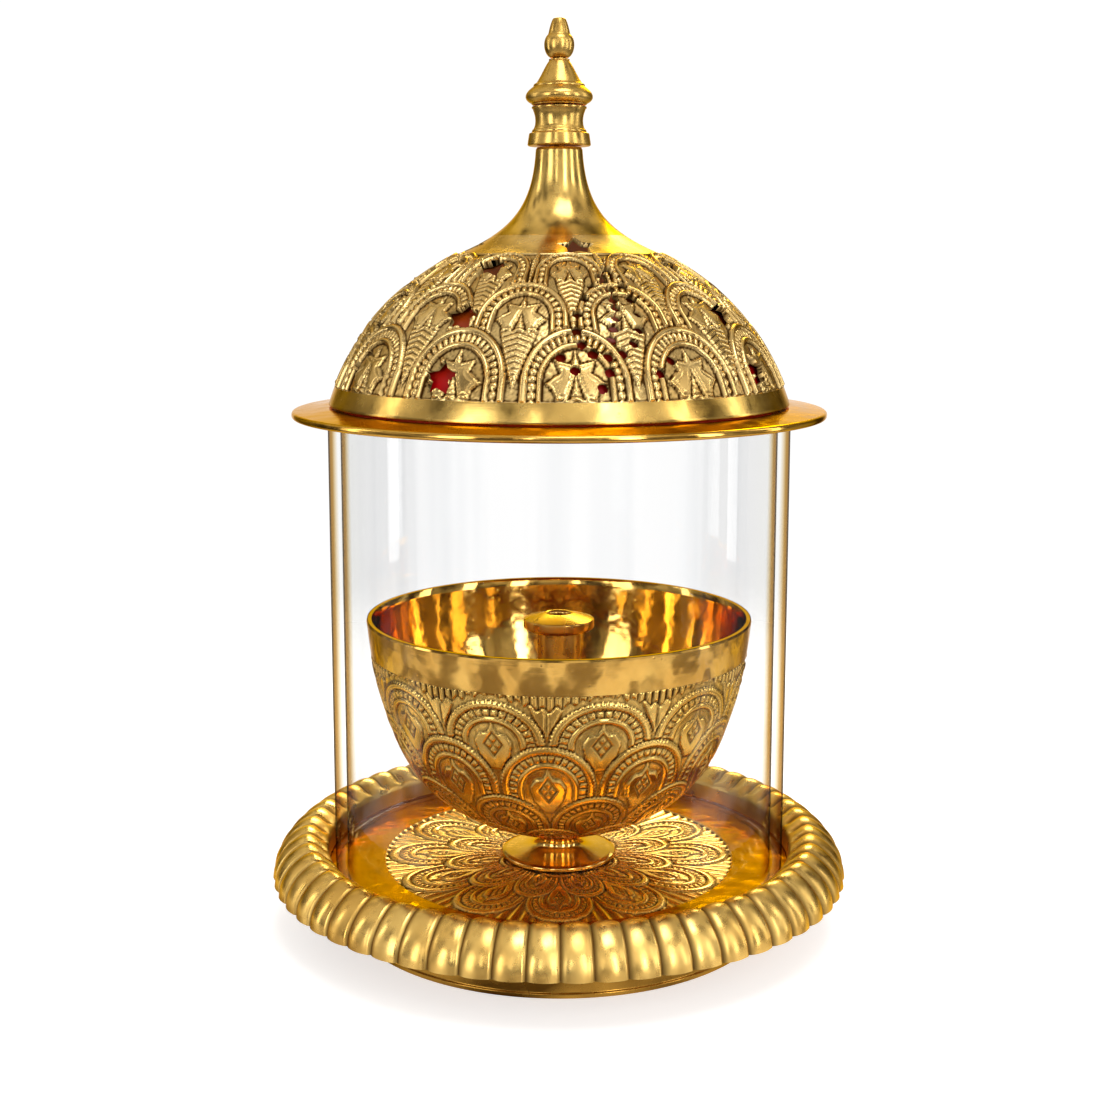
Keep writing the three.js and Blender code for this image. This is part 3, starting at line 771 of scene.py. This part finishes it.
def dome_lining(material):
    """The lacquered lining of the dome. Behind the two lower tiers of stars it is closed and stands off
    by a millimetre, and above them it draws in to the dome's wall and has the same holes, a little wider."""
    columns, rows = 720, 124
    foot = DOME_BAND - LINING_OVERLAP
    arc = np.linspace(foot, SKIN_TOP, rows)[:, None] + np.zeros((1, columns))
    turn = (np.arange(columns) * FULL_TURN / columns)[None] + np.zeros((rows, 1))
    no_hole = 9.0
    gap = np.where(arc < LINED_UP_TO, no_hole, dome_gaps(turn, arc, grow=0.1))
    turn, arc, keep = cut_holes(turn, arc, gap, (SKIN_TOP - foot) / (rows - 1))
    inward = DOME_WALL + LINING_GAP * smooth_step(SKIN_TOP, LINED_UP_TO, arc) + 0.02
    points = dome_point(arc, turn, -inward).reshape(-1, 3)
    faces = grid_quads(rows, columns)[keep][:, ::-1]
    used, faces = np.unique(faces, return_inverse=True)
    return add_piece("dome_lining", points[used], faces.reshape(-1, 4), NO_TRIANGLES, material)


def dome_band_and_spire(material):
    """The plain hem under the arches, and the drawn spire above them with its closed cap."""
    hem_arc = np.linspace(0.4, DOME_BAND + 0.1, 12)
    line = np.stack([np.interp(hem_arc, DOME_LENGTH, DOME_LINE[:, i]) for i in (0, 1)], axis=1)
    face = shifted(line, 0.06)
    back = shifted(line, 0.06 - DOME_WALL)
    foot = [(back[0, 0] + 0.1, DOME_FOOT), (face[0, 0] - 0.35, DOME_FOOT),
            (face[0, 0] - 0.05, DOME_FOOT + 0.12)]
    band = turned("dome_hem", np.concatenate([foot, face, back[::-1]]), material, around=360)

    flare = DOME_LINE[DOME_LENGTH > SKIN_TOP - 0.3][::7]
    inner = shifted(flare, 0.02 - DOME_WALL)
    cap = [(SPIRE_NECK_RADIUS - 0.3, DOME_TOP), (STUD_BORE, DOME_TOP), (STUD_BORE, DOME_TOP - DOME_WALL),
           (inner[-1, 0], DOME_TOP - DOME_WALL)]
    outline = np.concatenate([shifted(flare, 0.02), cap, inner[-4::-1]])
    spire = turned("dome_spire", outline, material, around=300)
    return band, spire


# Finial

def finial(material):
    """Collar, bell and bud, each turned on the lathe from its own outline of curves and fillets."""
    low, high = bottom("finial_collar"), top("finial_collar")
    collar = np.concatenate([
        rounded([(STUD_BORE, low, 0), (6.85, low, 0.1), (7.1, low + 0.28, 0.12), (6.72, low + 2.75, 0.14),
                 (6.15, low + 2.95, 0.12), (6.1, low + 3.35, 0.15), (5.85, low + 3.7, 0.15)], steps=5),
        bezier((5.7, low + 3.85), (5.2, low + 4.6), (5.2, low + 6.4), (5.75, low + 7.6), steps=20),
        rounded([(6.1, low + 8.1, 0.2), (6.15, high, 0.15), (STUD_BORE, high, 0)], steps=5)])
    low, high = bottom("finial_bell"), top("finial_bell")
    bell = np.concatenate([
        rounded([(STUD_BORE, low, 0), (5.95, low, 0.15), (6.3, low + 0.35, 0.2)], steps=5),
        bezier((6.6, low + 0.55), (7.9, low + 1.3), (7.8, low + 2.5), (6.2, low + 3.7), steps=20),
        rounded([(5.75, low + 4.0, 0.2), (5.7, low + 4.5, 0.2), (5.3, low + 4.75, 0.15)], steps=5),
        bezier((5.1, low + 4.85), (4.1, low + 6.2), (3.3, low + 8.2), (2.5, high - 0.7), steps=22),
        rounded([(2.35, high - 0.3, 0.15), (2.3, high, 0.1), (STUD_BORE, high, 0)], steps=5)])
    low, high = bottom("finial_bud"), top("finial_bud")
    bore_end = low + 4.3
    bud = np.concatenate([
        [(0, bore_end), (STUD_BORE, bore_end)],
        rounded([(STUD_BORE, low, 0), (2.1, low, 0.1)], steps=4),
        bezier((2.2, low + 0.15), (3.5, low + 1.0), (3.7, low + 3.6), (2.75, low + 4.75), steps=24),
        rounded([(2.6, low + 4.95, 0.1), (2.45, low + 5.05, 0.1)], steps=4),
        bezier((2.42, low + 5.2), (2.2, low + 6.2), (1.9, low + 7.4), (1.6, high - 0.6), steps=8),
        bezier((1.55, high - 0.45), (1.35, high), (0.9, high), (0.5, high), steps=8), [(0, high)]])
    for outline, name in ((collar, "finial_collar"), (bell, "finial_bell"), (bud, "finial_bud")):
        finish_piece(turned(name + "_turned", outline, material, around=160), "lid", "pale_brass", name)


# Lid plate

LID_HOLE_RADIUS = 46.0
RING_WIDTH = 2.7


def lid_plate(material):
    """Spun plate: flat seat inside, a shallow droop outwards and a rolled round edge."""
    low, high, edge = bottom("lid_plate"), top("lid_plate"), reach("lid_plate")
    under = low + 0.9
    glass_edge = reach("glass_chimney")
    outline = rounded([
        (LID_HOLE_RADIUS, under, 0), (glass_edge + 0.6, under, 1.0), (edge - 1.2, low, 0.5),
        (edge, low + 0.1, 0.7), (edge, low + 1.55, 0.7), (edge - 1.2, low + 1.7, 0.5),
        (DOME_EDGE_RADIUS + 0.6, high, 1.0), (LID_HOLE_RADIUS, high, 0)], steps=8)
    return turned("lid_plate_spun", outline, material, around=360)


def locating_ring(material):
    """Ring under the plate, chamfered to find the glass."""
    low, high, edge = bottom("locating_ring"), top("locating_ring"), reach("locating_ring")
    inner = edge - RING_WIDTH
    outline = rounded([
        (inner, low, 0.2), (edge - 0.4, low, 0.2), (edge, low + 0.4, 0.2), (edge, high, 0.1),
        (inner, high, 0.1)], steps=4)
    return turned("locating_ring_rolled", outline, material, around=300)


# Glass

GLASS_WALL = 2.8


def glass_tube(material):
    """Tube with fire-polished, rounded ends."""
    low, high, edge = bottom("glass_chimney"), top("glass_chimney"), reach("glass_chimney")
    inner = edge - GLASS_WALL
    outline = rounded([(inner, low, 1.0), (edge, low, 1.0), (edge, high, 1.0), (inner, high, 1.0)], steps=8)
    return turned("glass_tube", outline, material, around=360)


# Oil bowl

BOWL_RADIUS = reach("oil_bowl")
BOWL_LOW = bottom("oil_bowl")
BOWL_HIGH = top("oil_bowl")
BOWL_WALL = 1.5
BOWL_SEAT = 10.0
BOWL_BAND = 8.0
BOWL_ARCHES = 11
# Rows of arches as on the dome, with crown and springing as arc from the rim, negative downwards.
BOWL_ROWS = [
    (-9.6, -20.0, 15.9, BOWL_ARCHES, 12.6),
    (-19.8, -31.5, 15.9, BOWL_ARCHES, -3.8),
    (-33.6, -44.5, 15.9, BOWL_ARCHES, 12.6),
    (-46.5, -56.0, 15.9, BOWL_ARCHES, -3.8),
]


def bowl_profile():
    """Outer line of the bowl, from its seat on the foot up to the rim: a spline through shares of its
    radius and height."""
    shares = [(0.40, 0.055), (0.62, 0.165), (0.775, 0.31), (0.89, 0.53), (0.96, 0.75), (1.0, 1.0)]
    height = BOWL_HIGH - BOWL_LOW
    knots = [(BOWL_SEAT, BOWL_LOW)] + [(w * BOWL_RADIUS, BOWL_LOW + h * height) for w, h in shares]
    line = spline(knots, steps=400)
    length = np.concatenate([[0], np.cumsum(np.linalg.norm(np.diff(line, axis=0), axis=1))])
    return line, length - length[-1]


def bowl_tassels(turn, drop):
    """Ground above the top row: strokes that hang from the band between the arches, over a smooth leaf
    that points down into each gap, on a matted field. drop is the arc below the rim, negative."""
    pitch = FULL_TURN / BOWL_ARCHES
    first = BOWL_ROWS[0][4] + pitch / 2
    offset = ((turn - first + pitch / 2) % pitch - pitch / 2) * 0.75
    below = -drop - BOWL_BAND
    stroke = np.abs((offset / 1.7 % 1) - 0.5) * 2
    length = 3.4 - 0.26 * np.abs(offset) + 0.5 * np.sin(offset * 2.3)
    strokes = smooth_step(0.85, 0.5, stroke) * smooth_step(length, length - 0.8, below)
    leaf = plateau(np.abs(offset) * 0.9 + 0.42 * below - 4.4, 0.2)
    vein = bead_line(offset, -0.35, 0.35)
    height = BOWL_FIELD + 0.10 * stipple(turn.shape, 21) + 0.38 * leaf * (1 - 0.6 * vein)
    return np.where(below < length, BOWL_FIELD + 0.42 * strokes, height)


def engraved_bowl(material):
    """The chased outside of the bowl on a grid of arc length by turn, laid out as two pieces."""
    line, length = bowl_profile()
    columns, rows = 960, 176
    low, high = length[0] + 1.0, -BOWL_BAND
    drop = np.linspace(low, high, rows)
    radius, height = np.interp(drop, length, line[:, 0]), np.interp(drop, length, line[:, 1])
    profile = np.stack([radius, height], axis=1)
    outward = shifted(profile, 1.0) - profile
    turn = (np.arange(columns) * FULL_TURN / columns)[None] + np.zeros((rows, 1))
    rise = drop[:, None] + np.zeros((1, columns))
    relief = chased(turn, rise, BOWL_ROWS, bowl_arch, bowl_tassels(turn, rise), 17)
    relief = relief * smooth_step(high, high - 0.4, rise) * smooth_step(low, low + 0.6, rise)
    # Darkening of the relief's hollows: dirt together with painted shade.
    grime_and_shade = hollows(relief)
    points = on_turn(
        radius[:, None] + relief * outward[:, :1], height[:, None] + relief * outward[:, 1:], turn)
    normals = surface_normals(points)
    pieces = []
    middle = rows // 2
    for name, part in (
        ("bowl_lower_chasing", slice(0, middle + 1)),
        ("bowl_upper_chasing", slice(middle, rows)),
    ):
        count = len(range(*part.indices(rows)))
        quads = grid_quads(count, columns).reshape(-1, 4)
        pieces.append(add_piece(name, points[part].reshape(-1, 3), quads, NO_TRIANGLES, material,
                                normals=normals[part].reshape(-1, 3), grime_and_shade=grime_and_shade[part]))
    return pieces


def bowl_body(material):
    """The bowl's own wall: polished inside, a smooth band at the rim, and cut back by a hair where the
    chasing lies over it."""
    line, length = bowl_profile()
    cut = 0.5 * smooth_step(-BOWL_BAND + 0.02, -BOWL_BAND - 0.25, length)
    outer = line - (shifted(line, 1.0) - line) * cut[:, None]
    inner = shifted(line, -BOWL_WALL)
    floor = BOWL_LOW + BOWL_WALL
    inner = inner[inner[:, 1] > floor + 0.02]
    outer, inner = outer[::3], inner[::5]
    outer[-1] = line[-1] - [0.05, 0.5]
    rim = rounded([(line[-1, 0], BOWL_HIGH, 0.35), (inner[-1, 0], BOWL_HIGH, 0.35)])
    outline = np.concatenate([
        [(0, BOWL_LOW)], outer, rim, inner[-2::-1], [(BOWL_SEAT * 0.9, floor), (0, floor)]])
    return turned("bowl_body", outline, material, around=300)


FOOT_NECK_RADIUS = 4.45
FOOT_DISH_RADIUS = 8.4


def bowl_foot(material):
    """Turned foot, dished under: a flat disc, a narrow neck and a dish that carries the bowl."""
    low, high, edge = bottom("bowl_foot"), top("bowl_foot"), reach("bowl_foot")
    neck = low + 0.52 * (high - low)
    base = rounded([
        (edge - 3.2, low + 0.5, 0.2), (edge - 2.4, low, 0.2), (edge, low, 0.2), (edge, low + 0.9, 0.35)],
        steps=4)
    to_neck = bezier(
        (edge - 0.6, low + 1.0), (6.4, low + 1.15), (4.7, low + 1.5), (FOOT_NECK_RADIUS, neck), steps=26)
    to_dish = bezier(
        (FOOT_NECK_RADIUS, neck), (4.5, neck + 0.45 * (high - neck)), (6.9, high - 1.1),
        (FOOT_DISH_RADIUS, high - 0.5), steps=18)
    outline = np.concatenate([
        [(0, low + 0.5)], base, to_neck, to_dish[1:], [(FOOT_DISH_RADIUS, high), (0, high)]])
    return turned("bowl_foot_turned", outline, material, around=220)


# Wick holder

TUBE_RADIUS = 4.95
TUBE_BORE = 3.4
WICK_HOLE = 2.5
SPIGOT_RADIUS = 3.1


def wick_tube(material):
    """Tube on a weighted disc that stands on the bowl's floor."""
    low, high, edge = bottom("wick_tube"), top("wick_tube"), reach("wick_tube")
    outline = rounded([
        (TUBE_BORE, low, 0), (edge, low, 0.3), (edge, low + 1.6, 0.4), (TUBE_RADIUS, low + 1.6, 0.5),
        (TUBE_RADIUS, high, 0.15), (TUBE_BORE, high, 0)], steps=5)
    return turned("wick_tube_turned", outline, material, around=160)


def wick_disc(material):
    """Drip disc: thick turned edge, shallow cone above and a rounded wick hole."""
    low, high, edge = bottom("wick_disc"), top("wick_disc"), reach("wick_disc")
    under = low + 4.0
    outline = rounded([
        (WICK_HOLE, low, 0), (SPIGOT_RADIUS, low, 0.1), (SPIGOT_RADIUS, under, 0), (edge - 1.04, under, 0.4),
        (edge, under + 0.8, 0.25), (edge, under + 2.7, 0.22), (SPIGOT_RADIUS, high, 0.3),
        (WICK_HOLE, high - 0.5, 0.3)], steps=6)
    return turned("wick_disc_turned", outline, material, around=180, sharp=28.0)


# Tray

FLOOR_TOP = top("tray_floor")
ROSETTE_RADIUS = 41.0
# Rings of arches as on the dome, with crown and springing as distance from the axis.
ROSETTE_ROWS = [
    (40.2, 27.5, 14.4, 12, 0.0),
    (27.5, 16.0, 14.4, 12, 15.0),
    (15.2, 8.0, 29.0, 6, 0.0),
]


def rosette(material):
    """The chased rosette in the tray's floor: rings of arches that point outwards from the centre,
    worked on a grid of radius by turn."""
    columns, rows = 840, 110
    radius = np.linspace(ROSETTE_RADIUS, 2.0, rows)
    turn = (np.arange(columns) * FULL_TURN / columns)[None] + np.zeros((rows, 1))
    rise = radius[:, None] + np.zeros((1, columns))
    rays = -0.16 + 0.14 * np.cos(np.radians(turn) * 96) * smooth_step(26, 30, rise)
    relief = chased(turn, rise, ROSETTE_ROWS, bowl_arch, rays, 31) - 0.18
    relief = relief * smooth_step(ROSETTE_RADIUS, ROSETTE_RADIUS - 0.4, rise)
    points = on_turn(rise, FLOOR_TOP + relief, turn)
    normals = surface_normals(points)
    # The rosette's hollows are darkened: dirt together with painted shade.
    return add_piece("floor_rosette", points.reshape(-1, 3), grid_quads(rows, columns).reshape(-1, 4),
                     NO_TRIANGLES, material, normals=normals.reshape(-1, 3), grime_and_shade=hollows(relief))


def tray_floor(material):
    """Floor disc with a shallow seat for the rosette."""
    low, edge = bottom("tray_floor"), reach("tray_floor")
    seat = FLOOR_TOP - 0.75
    outline = np.concatenate([
        [(0, low)], rounded([(edge, low, 0.1), (edge, FLOOR_TOP, 0.1)], steps=3),
        [(ROSETTE_RADIUS, FLOOR_TOP), (ROSETTE_RADIUS - 0.05, seat), (0, seat)]])
    return turned("tray_floor_spun", outline, material, around=300)


FLUTES = 60
FLUTE_COLUMNS = 24
FLUTE_DEPTH = 0.75
TRAY_WALL = 1.0
# Painted shade of the rim: how dark its grooves and the left sides of its lobes are, and how dark its inside
# wall is.
GROOVE_SHADE = 0.80
WALL_SHADE = 0.15


def rim_section():
    """Section of the rim before fluting: up the tray wall, over the crest and down to the lip, and back
    one wall thickness underneath. Gives the section, how fully each point is fluted and its direction
    out of the metal."""
    edge = reach("fluted_rim")
    foot = FLOOR_TOP + 0.3
    inner, high = edge - 13.0, foot + 5.2
    crest, lip = high + 2.1, high - 7.3
    drop = crest - lip
    knots = [(inner, foot + 3.4), (inner + 0.35, high - 0.9), (inner + 1.3, high), (inner + 5.07, crest),
             (inner + 8.06, crest - 0.13 * drop), (inner + 10.66, crest - 0.38 * drop),
             (inner + 12.61, crest - 0.75 * drop), (edge, lip)]
    line = np.concatenate([[[inner, foot]], spline(knots, steps=46)])
    under = shifted(line, TRAY_WALL)
    under[0] = [inner + TRAY_WALL, foot]
    under[-1] = line[-1] - [TRAY_WALL, 0]
    share = smooth_step(inner - 0.2, inner + 2.2, line[:, 0])
    lean = line - under
    lean /= np.linalg.norm(lean, axis=1, keepdims=True)
    return [np.concatenate([below[::3], below[-1:], above[::-1]])
            for below, above in ((under, line), (share, share), (lean, lean))]


def fluted_rim(material):
    """Pressed rim: one section carried round the tray. Round the turn it swells into convex lobes with a
    narrow groove between them and a small facet on the groove's right side. The flutes fade out down the
    inside wall. The darkening it carries is painted shade: darkest in the grooves and over the left side of
    each lobe, and light down the inside wall."""
    section, shares, leans = rim_section()
    columns = FLUTES * FLUTE_COLUMNS
    turn = np.arange(columns) * FULL_TURN / columns
    side = ((turn * FLUTES / FULL_TURN) % 1 - 0.5) * 2
    away = np.abs(side)
    lobe = 1 - np.sqrt(np.clip(1 - (away * 0.93) ** 2, 0, 1))
    lobe /= lobe.max()
    facet = 0.10 * np.exp(-((side - 0.80) / 0.07) ** 2)
    shares = shares[:, None]
    sink = (FLUTE_DEPTH * 1.15 * lobe - facet)[None] * shares
    radius = section[:, :1] - leans[:, :1] * sink
    height = np.maximum(section[:, 1:] - leans[:, 1:] * sink, bottom("fluted_rim"))
    points = on_turn(radius, height, turn[None]).reshape(-1, 3)
    quads = grid_quads(len(section), columns, closed_rows=True).reshape(-1, 4)
    # Painted shade: the grooves and each lobe's left side, where less light falls.
    groove = np.maximum(smooth_step(0.84, 1.0, away), smooth_step(-0.55, -1.0, side))
    painted_shade = WALL_SHADE * (1 - shares) + GROOVE_SHADE * shares * groove[None]
    return add_piece("fluted_rim_pressed", points, quads, NO_TRIANGLES, material,
                     grime_and_shade=painted_shade.ravel(), sharp=50.0)


def foot_ring(material):
    """Strip ring with a turned-out bead at its foot."""
    high, edge = top("foot_ring"), reach("foot_ring")
    wall_face = edge - 0.3
    inner = wall_face - 1.2
    outline = rounded([
        (inner, 0, 0.1), (edge, 0, 0.15), (edge, 0.9, 0.15), (wall_face, 1.2, 0.15),
        (wall_face, high, 0.1), (inner, high, 0.1)], steps=4)
    return turned("foot_ring_rolled", outline, material, around=300)


# Finishes. Brass of this kind is a yellow alloy: cast or spun, turned or chased, then buffed.

# Spun and buffed sheet: mirror-like, with slow ripples that break the reflections into patches.
polished = brass(
    "spun_polished_brass", "#E6B65C", "#C08C34", 0.15, tool_lines=0.004, waver=0.12, pits=0.012)
# Spun floor of the tray: a deeper gold, and rippled more, where the glass and the bowl rub it.
floor_sheet = brass(
    "rubbed_floor_brass", "#D0922A", "#925C10", 0.15, tool_lines=0.010, waver=0.34, pits=0.010)
# Raised and spun wall of the bowl: the brightest polish, with casting pits left under it.
mirror = brass(
    "mirror_polished_brass", "#EBBE66", "#C08A34", 0.09, tool_lines=0.003, waver=0.16, pits=0.030)
# Rolled strip of the foot: handled and never buffed, and browner still as painted shade for the band under
# the rim's lip.
strip = brass("rolled_strip_brass_painted_shade", "#BC8C3A", "#7C561C", 0.26, tool_lines=0.006, waver=0.08)
# Pressed flutes of the rim: a satin buff, paler than the mirror polish.
satin = brass("satin_pressed_brass", "#EDC672", "#D09C42", 0.28, chased=True)
# Chased sheet of the bowl: bright on the raised lines, brown in the hollows.
chased_bowl = brass("chased_bowl_brass", "#F6CE76", "#DCA648", 0.17, waver=0.01, chased=True)
# Chased floor of the tray: the same work, with a slightly duller rub, and paler than the bowl's chasing as
# painted light, for the light that the lid keeps off the floor.
chased_floor = brass("chased_floor_brass_painted_light", "#FACE7E", "#E2A850", 0.20, waver=0.01, chased=True)
# Embossed sheet of the dome: a paler alloy, matt from the matting punch.
embossed_dome = brass("embossed_dome_brass", "#EDCC88", "#D0A455", 0.24, waver=0.06, chased=True)
# Plain parts of the dome, buffed by hand.
pale = brass("buffed_pale_brass", "#DEB968", "#BE9244", 0.21, tool_lines=0.006, waver=0.07, pits=0.010)
# Lathe-turned finial: fine rings left by the tool.
lathe_pale = brass("lathe_turned_pale_brass", "#DDB664", "#BE8E3C", 0.27, tool_lines=0.012, waver=0.02)
# Lathe-turned bowl foot: a finer cut than the finial's, and a brighter polish.
lathe_bright = brass("lathe_turned_bright_brass", "#EBC274", "#BC8C3E", 0.13, tool_lines=0.010, waver=0.03)
glass = clear_glass()
# The lacquer thins between these heights in millimetres.
lacquer = red_lacquer(132, 150)

finish_piece(foot_ring(strip), "tray", "polished_brass", "foot_ring")
finish_piece(tray_floor(floor_sheet), "tray", "chased_brass", "tray_floor")
finish_piece(rosette(chased_floor), "tray", "chased_brass")
finish_piece(fluted_rim(satin), "tray", "polished_brass", "fluted_rim")
finish_piece(glass_tube(glass), "chimney", "clear_glass", "glass_chimney")
finish_piece(bowl_foot(lathe_bright), "bowl", "polished_brass", "bowl_foot")
finish_piece(bowl_body(mirror), "bowl", "polished_brass", "oil_bowl")
for piece in engraved_bowl(chased_bowl):
    finish_piece(piece, "bowl", "chased_brass")
finish_piece(wick_tube(lathe_pale), "wick_holder", "polished_brass", "wick_tube")
finish_piece(wick_disc(lathe_pale), "wick_holder", "polished_brass", "wick_disc")
finish_piece(lid_plate(polished), "lid", "polished_brass", "lid_plate")
finish_piece(locating_ring(polished), "lid", "polished_brass", "locating_ring")
band, spire = dome_band_and_spire(pale)
finish_piece(band, "lid", "pale_brass")
finish_piece(spire, "lid", "pale_brass")
finish_piece(dome_lining(lacquer), "lid", "pale_chased_brass")
for i, piece in enumerate(engraved_dome(embossed_dome)):
    finish_piece(piece, "lid", "pale_chased_brass", *(["pierced_dome"] if i == 0 else []))
finial(lathe_pale)
for name in ("finial_stud", "finial_nut"):
    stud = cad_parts[name]
    stud.data.materials.clear()
    stud.data.materials.append(lathe_pale)


# Stage: a pale floor, a pale sky that is brightest behind the object, and soft boxes.

FLOOR_HALF = 600.0
FLOOR_DROP = 0.05


def lit_acrylic():
    """A light table: matt white acrylic lit faintly from below, mottled by the tooth of its surface, that
    dissolves into the white behind it a hand's breadth beyond the object. What the metal mirrors of it is a
    painted reflection: darker and cloudy, unlike the floor that is seen straight."""
    material, tree = new_material("lit_white_acrylic")
    place = node(tree, "ShaderNodeTexCoord").outputs["Object"]
    tooth = node(tree, "ShaderNodeTexNoise", {"Vector": place, "Scale": 1 / (60 * MM), "Detail": 3.0})
    tone = node(tree, "ShaderNodeMix", {
        FACTOR: tooth.outputs["Fac"], FIRST: linear("#DADADC"), SECOND: linear("#E0E0E2")}, data_type="RGBA")
    clouds = node(tree, "ShaderNodeTexNoise", {"Vector": place, "Scale": 1 / (55 * MM), "Detail": 2.0})
    mirrored = node(tree, "ShaderNodeMapRange", {
        "Value": clouds.outputs["Fac"], "From Min": 0.45, "From Max": 0.57, "To Min": 0.0, "To Max": 0.85})
    # Painted reflection: mirror rays see the floor darker and cloudy.
    path = node(tree, "ShaderNodeLightPath")
    glow = node(tree, "ShaderNodeMix", {
        0: path.outputs["Is Glossy Ray"], 2: 0.60, 3: mirrored.outputs[0]})
    seen = node(tree, "ShaderNodeMix", {
        FACTOR: path.outputs["Is Glossy Ray"], FIRST: tone.outputs[MIXED], SECOND: linear("#8E8270")},
        data_type="RGBA")
    paper = node(tree, "ShaderNodeBsdfPrincipled", {
        "Base Color": seen.outputs[MIXED], "Roughness": 0.9, "Emission Color": linear("#FFFFFF"),
        "Emission Strength": glow.outputs[0]})
    away = node(tree, "ShaderNodeVectorMath", {0: place}, operation="LENGTH")
    gone = node(tree, "ShaderNodeMapRange", {
        "Value": away.outputs["Value"], "From Min": 150 * MM, "From Max": 420 * MM},
        interpolation_type="SMOOTHSTEP")
    clear = node(tree, "ShaderNodeBsdfTransparent")
    surface = node(tree, "ShaderNodeMixShader", {
        0: gone.outputs[0], 1: paper.outputs[0], 2: clear.outputs[0]})
    node(tree, "ShaderNodeOutputMaterial", {"Surface": surface.outputs[0]})
    return material


def studio_floor():
    """A flat square a hair below the object's foot."""
    corners = np.array([[-1, -1], [1, -1], [1, 1], [-1, 1]]) * FLOOR_HALF
    points = np.concatenate([corners, np.full((4, 1), -FLOOR_DROP)], axis=1)
    floor = add_piece("studio_floor", points, np.array([[0, 1, 2, 3]]), NO_TRIANGLES, lit_acrylic())


def studio_sky():
    """White wherever it is looked at straight. What the metal mirrors is a studio by direction: a white
    panel behind the object, and around it a warm dim room that is lighter overhead, in tall uneven
    patches like flags and curtains."""
    world = bpy.data.worlds.new("studio_sky")
    bpy.context.scene.world = world
    world.use_nodes = True
    tree = world.node_tree
    tree.nodes.clear()
    way = node(tree, "ShaderNodeTexCoord").outputs["Generated"]
    split = node(tree, "ShaderNodeSeparateXYZ", {"Vector": way})
    panel = node(tree, "ShaderNodeMapRange", {
        "Value": split.outputs["Y"], "From Min": 0.86, "From Max": 0.95}, interpolation_type="SMOOTHSTEP")
    overhead = node(tree, "ShaderNodeMapRange", {
        "Value": split.outputs["Z"], "From Min": 0.05, "From Max": 0.85, "To Min": 0.20, "To Max": 0.80},
        interpolation_type="SMOOTHSTEP")
    tall = node(tree, "ShaderNodeMapping", {"Vector": way, "Scale": (1.0, 1.0, 0.35)})
    patches = node(tree, "ShaderNodeTexNoise", {"Vector": tall.outputs[0], "Scale": 4.2, "Detail": 2.0})
    uneven = node(tree, "ShaderNodeMapRange", {
        "Value": patches.outputs["Fac"], "From Min": 0.38, "From Max": 0.62, "To Min": 0.12, "To Max": 1.7},
        interpolation_type="SMOOTHSTEP")
    room = node(tree, "ShaderNodeMath", {0: overhead.outputs[0], 1: uneven.outputs[0]}, operation="MULTIPLY")
    warm = node(tree, "ShaderNodeMix", {
        FACTOR: room.outputs[0], FIRST: linear("#2A1C10"), SECOND: linear("#F6F0E4")}, data_type="RGBA")
    path = node(tree, "ShaderNodeLightPath")
    white = node(tree, "ShaderNodeMath", {
        0: path.outputs["Is Camera Ray"], 1: panel.outputs[0]}, operation="MAXIMUM")
    colour = node(tree, "ShaderNodeMix", {
        FACTOR: white.outputs[0], FIRST: warm.outputs[MIXED], SECOND: (1.05, 1.05, 1.05, 1.0)},
        data_type="RGBA")
    sky = node(tree, "ShaderNodeBackground", {"Color": colour.outputs[MIXED], "Strength": 1.0})
    node(tree, "ShaderNodeOutputWorld", {"Surface": sky.outputs[0]})


def soft_box(name, place, width, height, power):
    """A rectangular soft box that faces the middle of the object."""
    data = bpy.data.lights.new(name, "AREA")
    data.shape = "RECTANGLE"
    data.size, data.size_y = width, height
    data.energy = power
    lamp = bpy.data.objects.new(name, data)
    lamp.location = place
    aim = np.array([0, 0, 0.1]) - np.array(place)
    aim /= np.linalg.norm(aim)
    yaw = math.atan2(-aim[0], aim[1])
    pitch = math.asin(aim[2])
    lamp.rotation_euler = (math.pi / 2 + pitch, 0, yaw)
    lamp.visible_camera = False
    bpy.context.scene.collection.objects.link(lamp)


# Name, place, width and height in metres, and power in watts.
SOFT_BOXES = (
    ("key_right", (0.46, -0.90, 0.42), 0.16, 0.90, 3.4),
    ("strip_left", (-0.22, -1.00, 0.48), 0.10, 0.55, 0.7),
    ("fill_left", (-0.70, -0.76, 0.30), 0.30, 0.80, 2.7),
    ("strip_right", (0.93, -0.48, 0.28), 0.16, 0.90, 2.0),
    ("edge_left", (-1.05, 0.05, 0.30), 0.16, 0.90, 1.4),
    ("edge_right", (1.05, 0.15, 0.30), 0.16, 0.90, 1.4),
    ("top", (0.15, -0.35, 1.10), 0.55, 0.42, 4.0),
    ("back_high", (0.12, 0.85, 0.62), 0.50, 0.26, 4.5),
)

studio_floor()
studio_sky()
for soft_box_row in SOFT_BOXES:
    soft_box(*soft_box_row)
bpy.context.scene.view_settings.view_transform = "Standard"
